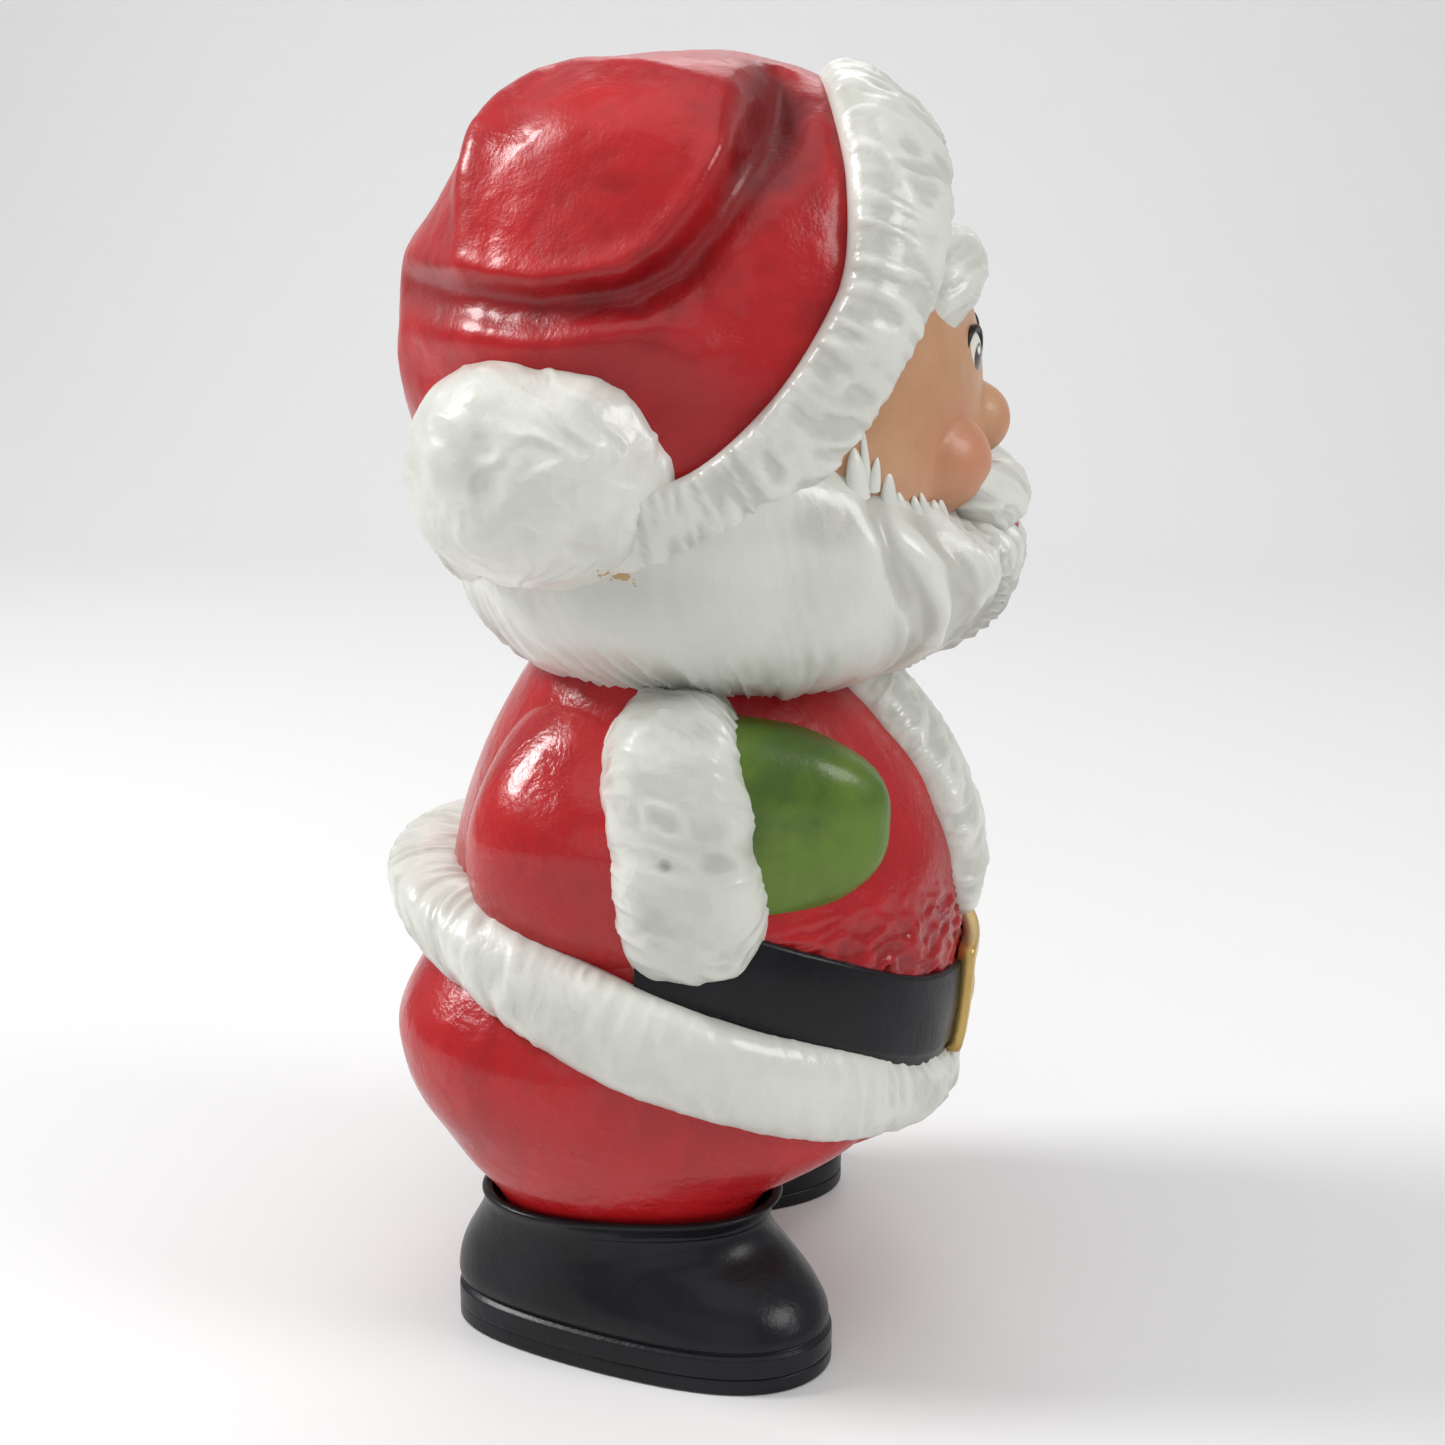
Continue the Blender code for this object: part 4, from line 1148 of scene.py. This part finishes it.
def makeTrim():
    # the fur down the front: a roll on the coat's middle line that thins out above the belt
    values = trimValues
    up = np.linspace(values["top"], values["bottom"], count(values["steps"]))
    middle = coatPoints(np.zeros(len(up)), up, 0.0)
    along = unit(np.gradient(middle, axis=0))
    across = np.tile((1.0, 0.0, 0.0), (len(up), 1))
    outward = unit(np.cross(across, along))
    outward = outward * np.sign(outward[:, 1:2])
    fade = np.clip((up - values["bottom"]) / values["fadeRun"], 0.0, 1.0) ** 0.5
    arc = arcLength(middle)[:, None]
    band = values["halfBand"] * (0.35 + 0.65 * fade) * (1.0 + 0.05 * noise(arc[:, 0] / 9.0, 0.0, 0.0, 61.0))
    thick = values["proud"] * (0.25 + 0.75 * fade)
    rings, side, proud = rollAlong(middle, outward, across, band, thick, count(values["around"]))
    height = furHeight(side, arc + 0.25 * np.abs(side), 63.0, 14.0, 4.4, 1.0, 0.3)
    return furred("frontTrim", rings, height, smoothStep(-2.0, 2.5, proud))


hemValues = {
    "front": 63.0,
    "back": 85.0,
    "side": 77.0,
    # the middle line's height at degrees from straight ahead
    "line": ((0.0, 69.5), (30.0, 76.0), (60.0, 87.0), (90.0, 100.5), (138.0, 122.5), (180.0, 127.0)),
    "centreHeight": 94.0,
    "halfBand": 14.5,
    "thickness": 9.5,
    "backFlare": 7.5,
    "backTilt": 0.6,
    "steps": 620,
    "around": 60,
}


def makeHem():
    # the fur round the coat's hem on a line that rises from the belly to the back, where it
    # flares out to a thin edge
    values = hemValues
    turn = fullTurn(values["steps"])
    fold = np.degrees(np.abs((turn + math.pi) % (2 * math.pi) - math.pi))
    up = eased(*np.array(values["line"]).T, fold)
    behind = np.clip((fold - 100.0) / 60.0, 0.0, 1.0)
    half = (values["front"] + values["back"]) / 2
    lead = (values["front"] - values["back"]) / 2
    middle = np.stack((values["side"] * np.sin(turn), lead + half * np.cos(turn), up), axis=-1)
    outward, across = loopFrames(middle, (0.0, lead, values["centreHeight"]))
    level = np.array(outward)
    level[:, 2] = values["backTilt"] * behind
    level = unit(level)
    lift = unit(np.cross(np.cross(level, across), level))
    arc = loopArc(middle)
    thick = values["thickness"] + values["backFlare"] * behind
    band = values["halfBand"] * (0.74 + 0.26 * smoothStep(10.0, 60.0, fold) - 0.12 * behind)
    band = band * (1.0 + 0.03 * noise(arc[:, 0] / 14.0, 0.0, 0.0, 71.0))
    power = 2.4 - 0.95 * behind
    rings, side, proud = rollAlong(middle, level, lift, band, thick, count(values["around"]), power)
    height = furHeight(side + 0.5 * arc, arc - 0.5 * side, 73.0, 15.0, 4.8, 0.9, 0.3)
    # the strokes are calmer at the sides
    calm = 0.25 + 0.75 * np.maximum(smoothStep(95.0, 130.0, fold), smoothStep(60.0, 20.0, fold))[:, None]
    return furred("hem", rings, height, smoothStep(-2.0, 2.5, proud) * calm, closedLoop=True)


beltValues = {
    "frontHeight": 94.0,
    "sideHeight": 119.0,
    "band": 25.0,
    "proud": 2.6,
    "sweep": 101.0,
    "buckleWidth": 38.0,
    "buckleHeight": 34.0,
    "bar": 5.0,
    "thickness": 3.4,
}


def beltHeight(degrees):
    # it rises from the buckle to the sides, and its ends dive under the hem
    rise = eased((0.0, 35.0, 62.0, 85.0, 112.0), (0.0, 0.25, 0.79, 1.2, 1.5), np.abs(degrees))
    rise = rise - 0.62 * smoothStep(82.0, 100.0, np.abs(degrees))
    return beltValues["frontHeight"] + rise * (beltValues["sideHeight"] - beltValues["frontHeight"])


def makeBelt():
    # a flat section with rounded edges carried round the belly
    values = beltValues
    proud, top = values["proud"], values["proud"] - 0.7
    # (share of the band, how far it stands out), from below the surface and back under it
    lower = ((-0.64, -9.0), (-0.64, 1.4), (-0.52, top - 0.3), (-0.49, top + 0.3), (-0.45, proud))
    upper = ((0.45, proud), (0.49, top + 0.3), (0.5, top - 0.3), (0.5, -9.0))
    section = np.array((*lower, (0.0, proud + 0.3), *upper))
    degrees = np.linspace(-values["sweep"], values["sweep"], count(240))
    up = beltHeight(degrees)[:, None] + section[None, :, 0] * values["band"]
    rings = coatPoints(np.radians(degrees)[:, None], up, section[None, :, 1])
    return surface("belt", rings, blackGlaze)


def makeBuckle():
    # a square frame and its tongue, each a bevelled section laid on the belly
    values = beltValues
    halfWide, halfHigh = values["buckleWidth"] / 2, values["buckleHeight"] / 2
    foot, lift = values["proud"] - 1.5, values["proud"] + values["thickness"]
    shoulder = lift - 0.8
    middleUp = values["frontHeight"] + 1.5
    deep = coatPoints(0.0, values["frontHeight"], 0.0)[1]
    outer = ((0.0, foot), (0.0, shoulder), (0.35, lift - 0.25), (1.0, lift))
    inner = ((values["bar"] - inset, proud) for inset, proud in reversed(outer))
    section = np.array((*outer, *inner))
    # once round a square whose corners are slightly rounded
    share = np.linspace(0.0, 4.0, count(160), endpoint=False)
    side, step = share.astype(int), share % 1.0
    corners = np.array(((-1.0, -1.0), (1.0, -1.0), (1.0, 1.0), (-1.0, 1.0)))
    edge = corners[side] + (corners[(side + 1) % 4] - corners[side]) * step[:, None]
    edge = edge / ((np.abs(edge) ** 14).sum(-1, keepdims=True) ** (1 / 14))
    x = edge[:, :1] * (halfWide - section[None, :, 0])
    up = middleUp + edge[:, 1:] * (halfHigh - section[None, :, 0])
    rings = coatPoints(np.arctan2(x, deep), up, section[None, :, 1])
    surface("buckleFrame", rings, goldPaint, closedLoop=True)
    x = np.linspace(1.0 - halfWide, halfWide - 0.6, count(70))[:, None]
    # the tongue runs from bar to bar
    half = ((-2.2, foot), (-2.0, shoulder), (-1.0, lift))
    bar = np.array((*half, *((-across, proud) for across, proud in reversed(half))))
    up = middleUp + bar[None, :, 0] + 0.0 * x
    rings = coatPoints(np.arctan2(x, deep), up, bar[None, :, 1])
    surface("buckleTongue", rings, goldPaint)


makeCoat()
makeTrim()
makeHem()
makeBelt()
makeBuckle()
print("coat made")


# Arms

armValues = {
    # place, radii, grid counts and boxiness
    "sleeve": ((45.0, -24.5, 151.0), (31.0, 43.5, 42.5), 130, 170, 2.45),
    "sleeveLean": 14.0,
    "sleeveTurn": 6.0,
    "shoulderLean": 15.0,
    "elbow": (-37.0, 142.0),
    "elbowDent": 1.6,
    "cuff": ((51.5, -5.5, 156.5), (33.5, 22.5, 41.0), 150, 220, 3.2),
    "cuffLean": -6.0,
    "cuffSpread": 0.05,
    "pit": (-4.0, 1.0),
    "pitDepth": 1.4,
    "mitten": ((54.0, 16.0, 160.5), (21.0, 34.0, 32.5), 110, 150, 3.0),
    "mittenTurn": 8.0,
    "taper": 0.42,
    "thumb": ((0.0, 0.0, 0.0), (8.0, 14.0, 8.0), 50, 70),
    "thumbPlace": (-15.0, 7.0, 7.0),
    "thumbTurn": 16.0,
}


def makeArms():
    # rounded blocks for the sleeve, fur cuff, mitten and thumb of each arm
    values = armValues
    offset, centre = ballGrid(*values["sleeve"])
    offset = turned(offset, -values["sleeveLean"], 0)
    offset[..., 0] -= values["shoulderLean"] * smoothStep(2.0, 40.0, offset[..., 2])
    sleeve = turned(offset, -values["sleeveTurn"], 2) + centre
    _, y, z = np.moveaxis(sleeve, -1, 0)
    elbow = np.exp(-ovalAway(y, z, values["elbow"], (1.0, 1.0)) / 90.0)
    sleeve = raised(sleeve, 0.8 * lumpy(sleeve, 19.0, 81.0) - values["elbowDent"] * elbow)
    pair("sleeve", sleeve, redGlaze)

    offset, centre = ballGrid(*values["cuff"])
    angle = np.arctan2(offset[..., 2], offset[..., 0]) * 36.0
    lumps = lumpy(offset, (9.0, 10.0, 9.0), 83.0)
    across = angle + 0.3 * offset[..., 1]
    curls = furHeight(offset[..., 1] + 0.2 * angle, across, 85.0, 10.0, 4.6, 0.8, 0.2)
    offset[..., 1] *= 1.0 - values["cuffSpread"] * offset[..., 2] / values["cuff"][1][2]
    x, y, z = np.moveaxis(offset, -1, 0)
    pit = np.exp(-ovalAway(y, z, values["pit"], (1.0, 1.0)) / 2.2) * (x > 0)
    height = 1.2 * lumps + curls - values["pitDepth"] * pit
    cuff = raised(turned(offset, -values["cuffLean"], 0) + centre, height)
    # painted shade in the fur's grooves and in the dent
    grooveShade = np.clip(smoothStep(0.0, -1.5, height) + 0.8 * pit, 0.0, 1.0)
    pair("cuff", cuff, whiteGlaze, grooveShade)

    offset, centre = ballGrid(*values["mitten"])
    ahead = np.clip(offset[..., 1] / values["mitten"][1][1], -1.0, 1.0)
    slim = values["taper"] * (0.5 + 0.5 * ahead) ** 1.6
    offset[..., 0] *= 1.0 - 0.7 * slim
    offset[..., 2] *= 1.0 - slim
    mitten = turned(offset, values["mittenTurn"], 2) + centre
    pair("mitten", raised(mitten, 0.4 * lumpy(mitten, 12.0, 87.0)), greenGlaze)
    offset, _ = ballGrid(*values["thumb"])
    thumb = turned(offset, values["thumbTurn"], 2) + centre + values["thumbPlace"]
    pair("thumb", thumb, greenGlaze)


makeArms()
print("arms made")


# Trousers and boots

bootValues = {
    "soleHeight": 11.0,
    "height": 45.0,
    "heel": (39.0, -55.0, 21.5),
    "toe": (57.3, 5.5, 30.6),
    "weltDepth": 1.8,
    "weltHeight": 2.4,
    "rimLength": 89.0,
    "rimWidth": 63.0,
    "rimApart": 42.5,
    "rimBack": 23.5,
    "rimWall": 3.6,
    "rimDepth": 6.0,
    "legHalfWidth": 49.0,
    "legHalfDepth": 68.0,
}


def makeTrousers():
    # two lobes, each of rounded ovals whose middle, width and depth follow smooth curves of height
    values = bootValues
    rim, apart, back = values["height"], values["rimApart"], -values["rimBack"]
    width, depth = values["rimWidth"] / 2 - values["rimWall"], values["rimLength"] / 2 - values["rimWall"]
    half, reach = values["legHalfWidth"], values["legHalfDepth"]
    # (height, offset, half width, forward middle, half depth)
    levels = np.array(
        (
            (rim - 5.0, apart, width - 4.0, back, depth - 5.0),
            (rim, apart, width - 2.4, back, depth - 2.4),
            (rim + 4.5, apart - 0.3, width - 0.3, back + 0.5, depth + 1.2),
            (rim + 11.0, apart - 2.0, 0.67 * half, -20.5, 0.75 * reach),
            (rim + 20.0, apart - 4.5, 0.81 * half, -17.0, 0.905 * reach),
            (rim + 30.0, apart - 7.5, 0.925 * half, -19.5, 0.985 * reach),
            (rim + 41.0, apart - 10.5, half, -23.0, reach),
            (rim + 53.0, apart - 12.0, 0.98 * half, -24.0, reach),
            (rim + 67.0, apart - 15.5, 0.86 * half, -21.0, 0.94 * reach),
            (rim + 83.0, apart - 20.0, 0.70 * half, -17.0, 0.81 * reach),
        )
    )
    station = np.arange(len(levels), dtype=float)
    at = np.linspace(0.0, station[-1], count(130))
    up, offset, wide, ahead, deep = eased(station, levels, at).T[:, :, None]
    across, along = ovalRing(fullTurn(240)[None, :], wide, deep, 2.4)
    rings = np.stack((offset + across, ahead + along, up + 0.0 * across), axis=-1)
    soft = 0.5 * lumpy(rings, 20.0, 91.0) * smoothStep(50.0, 60.0, rings[..., 2])
    pair("trouser", raised(rings, soft), redGlaze)


def solePoints(heel, toe, up, turn):
    # an egg-shaped outline round a heel circle and a toe circle, mixed by a steep S-curve
    steep = 1.6
    along = (toe - heel)[:, :, :2]
    along = along / np.linalg.norm(along, axis=-1, keepdims=True)
    way = np.stack((np.sin(turn), np.cos(turn)), axis=-1)[None]
    blend = 0.5 + 0.5 * np.tanh(steep * (way * along).sum(-1)) / math.tanh(steep)
    mix = heel + (toe - heel) * blend[..., None]
    flat = mix[..., :2] + way * mix[..., 2:]
    return np.concatenate((flat, up + 0.0 * flat[..., :1]), axis=-1)


def grown(circle, extra):
    # a circle as (left, forward, radius) with its radius changed
    return circle + np.array((0.0, 0.0, extra))


def bootLevels():
    # (height, heel circle, toe circle) up the boot, then down inside its rim
    values = bootValues
    heel, toe = np.array(values["heel"]), np.array(values["toe"])
    half = values["rimWidth"] / 2
    rimBack, length, apart = values["rimBack"], values["rimLength"] / 2, values["rimApart"]
    rimHeel = np.array((apart, -rimBack - length + half - 3.0, half - 3.0))
    rimToe = np.array((apart + 1.0, -rimBack + length - half + 2.0, half - 2.0))
    sole, over, rim = values["soleHeight"], values["soleHeight"] + values["weltHeight"], values["height"]
    welt = values["weltDepth"]
    levels = []
    # (height, how far the sole is drawn in at its heel and toe)
    for up, heelIn, toeIn in (
        (0.0, 0.9, 0.9),
        (0.35, 0.27, 0.27),
        (1.0, 0.0, 0.0),
        (4.2, 0.0, 0.0),
        (4.9, 0.09, 0.63),
        (5.6, 0.0, 0.0),
        (sole - 0.8, 0.0, 0.0),
        (sole - 0.2, 0.36, 0.36),
        (sole + 0.4, 1.08, 1.08),
        (sole + 1.1, welt, welt),
        (sole + 1.8, 1.08, 1.08),
        (over, 0.45, 0.9),
    ):
        levels.append((up, grown(heel, -heelIn), grown(toe, -toeIn)))
    # (share of the shaft's height, shares of the way to the rim and swell at heel and toe)
    for share, heelRim, heelSwell, toeRim, toeSwell in (
        (0.10, 0.05, 0.3, 0.08, -0.3),
        (0.28, 0.14, 0.1, 0.26, -1.1),
        (0.46, 0.34, -0.3, 0.54, -2.8),
        (0.62, 0.60, -0.8, 0.83, -4.4),
        (0.78, 0.84, -1.2, 1.0, -4.2),
        (0.89, 0.96, -1.0, 1.0, -3.1),
        (0.98, 1.0, -0.1, 1.0, -0.4),
    ):
        atHeel = grown(heel + (rimHeel - heel) * heelRim, heelSwell)
        atToe = grown(toe + (rimToe - toe) * toeRim, toeSwell)
        levels.append((over + share * (rim - over), atHeel, atToe))
    # (height over the rim, share of the wall) over its edge and down inside
    for lift, share in ((0.5, 0.35), (0.3, 0.75), (-0.8, 1.0), (-values["rimDepth"], 1.0)):
        inward = -share * values["rimWall"]
        levels.append((rim + lift, grown(rimHeel, inward), grown(rimToe, inward)))
    return levels


def makeBoots():
    # a smooth curve through the boot's levels, with soft dents in its shaft
    table = np.array([[up, *heel, *toe] for up, heel, toe in bootLevels()])
    station = np.arange(len(table), dtype=float)
    smooth = eased(station, table, np.linspace(0.0, station[-1], count(150)))[:, None]
    rings = solePoints(smooth[..., 1:4], smooth[..., 4:7], smooth[..., :1], fullTurn(240))
    rings[..., 2] = np.maximum(rings[..., 2], 0.0)
    shaft = smoothStep(15.0, 20.0, rings[..., 2]) * smoothStep(46.0, 42.0, rings[..., 2])
    rings = raised(rings, 0.45 * lumpy(rings, 15.0, 95.0) * shaft)
    pair("boot", rings, blackGlaze)


makeTrousers()
makeBoots()
print("boots made")


# Stage, light and camera

stageValues = {
    "floorColour": (0.80, 0.80, 0.80),
    "start": -2.5,
    "radius": 1.6,
    "bend": 0.5,
    "wallHeight": 1.5,
    "halfWidth": 3.0,
}


def makeStage():
    # a level floor that curves up into a backdrop: a quarter round carried sideways; away from
    # the camera is towards +x, so the sweep runs along x and is carried along y
    values = stageValues
    flat, bend = values["radius"] - values["bend"], values["bend"]
    turn = np.linspace(0.0, math.pi / 2, 24)
    curve = np.stack((flat + bend * np.sin(turn), bend - bend * np.cos(turn)), axis=-1)
    profile = np.vstack(((values["start"], 0.0), curve, (values["radius"], values["wallHeight"])))
    across = np.linspace(-values["halfWidth"], values["halfWidth"], 7)
    x, y = np.meshgrid(profile[:, 0], across, indexing="ij")
    z = np.repeat(profile[:, 1:], len(across), 1)
    grid = np.stack((x, y, z), axis=-1)
    rows, columns = x.shape
    index = np.arange(rows * columns).reshape(rows, columns)
    quads = np.stack((index[:-1, :-1], index[1:, :-1], index[1:, 1:], index[:-1, 1:]), axis=-1)
    mesh = bpy.data.meshes.new("studioFloor")
    mesh.from_pydata(grid.reshape(-1, 3).tolist(), [], quads.reshape(-1, 4).tolist())
    mesh.shade_smooth()
    material, tree, shader = newMaterial("studioPaper")
    shader.inputs["Roughness"].default_value = 0.7
    grain = noiseNode(tree, objectPlace(tree), 3.0, 2.0)
    pale = values["floorColour"]
    mixed = mixColour(tree, grain, pale, tuple(part * 0.98 for part in pale))
    link(tree, mixed, shader.inputs["Base Color"])
    mesh.materials.append(material)
    addObject("studioFloor", mesh)


cameraValues = {
    "azimuth": 274.0,
    "elevation": 15.0,
    "distance": 0.72,
    "lens": 60.56,
    "targetHeight": 0.1739,
}
lampTarget = Vector((0.0, 0.0, 0.18))
worldValues = {"colour": (0.90, 0.90, 0.90), "strength": 0.37}


def backFrom(azimuth, elevation):
    # the direction from the figure towards a viewer; azimuth 0 stands in front of the figure
    a, e = math.radians(azimuth), math.radians(elevation)
    return Vector((math.sin(a) * math.cos(e), -math.cos(a) * math.cos(e), math.sin(e)))


def aim(thing, target, azimuth, elevation, distance):
    # stands a camera or lamp off in a direction and turns it to face the target
    back = backFrom(azimuth, elevation)
    thing.location = target + back * distance
    thing.rotation_euler = back.to_track_quat("Z", "Y").to_euler()


def makeCamera():
    values = cameraValues
    data = bpy.data.cameras.new("photoCamera")
    data.lens = values["lens"]
    data.sensor_width = 36.0
    data.sensor_fit = "HORIZONTAL"
    data.clip_start = 0.01
    camera = addObject("photoCamera", data)
    target = Vector((0.0, -balanceForward * 0.001, values["targetHeight"]))
    aim(camera, target, values["azimuth"], values["elevation"], values["distance"])
    bpy.context.scene.camera = camera


lightValues = (
    # name, azimuth, elevation, distance, size, watts
    ("keyLight", 180.0, 42.0, 1.5, 0.45, 16.5),
    ("frontLight", 342.0, 36.0, 1.6, 0.7, 9.0),
    ("farLight", 90.0, 40.0, 1.8, 1.2, 6.0),
    ("topLight", 270.0, 80.0, 1.6, 1.5, 5.0),
    ("sideLight", 268.0, 20.0, 2.2, 1.8, 4.4),
)


def makeLights():
    # round lamps on all sides, and a plain grey world
    for name, azimuth, elevation, distance, size, watts in lightValues:
        data = bpy.data.lights.new(name, "AREA")
        data.shape = "DISK"
        data.size = size
        data.energy = watts
        aim(addObject(name, data), lampTarget, azimuth, elevation, distance)
    world = bpy.data.worlds.new("studioWorld")
    bpy.context.scene.world = world
    world.use_nodes = True
    background = world.node_tree.nodes["Background"]
    background.inputs["Color"].default_value = (*worldValues["colour"], 1.0)
    background.inputs["Strength"].default_value = worldValues["strength"]


makeStage()
makeCamera()
makeLights()
bpy.context.scene.view_settings.view_transform = "Standard"
print("stage ready")
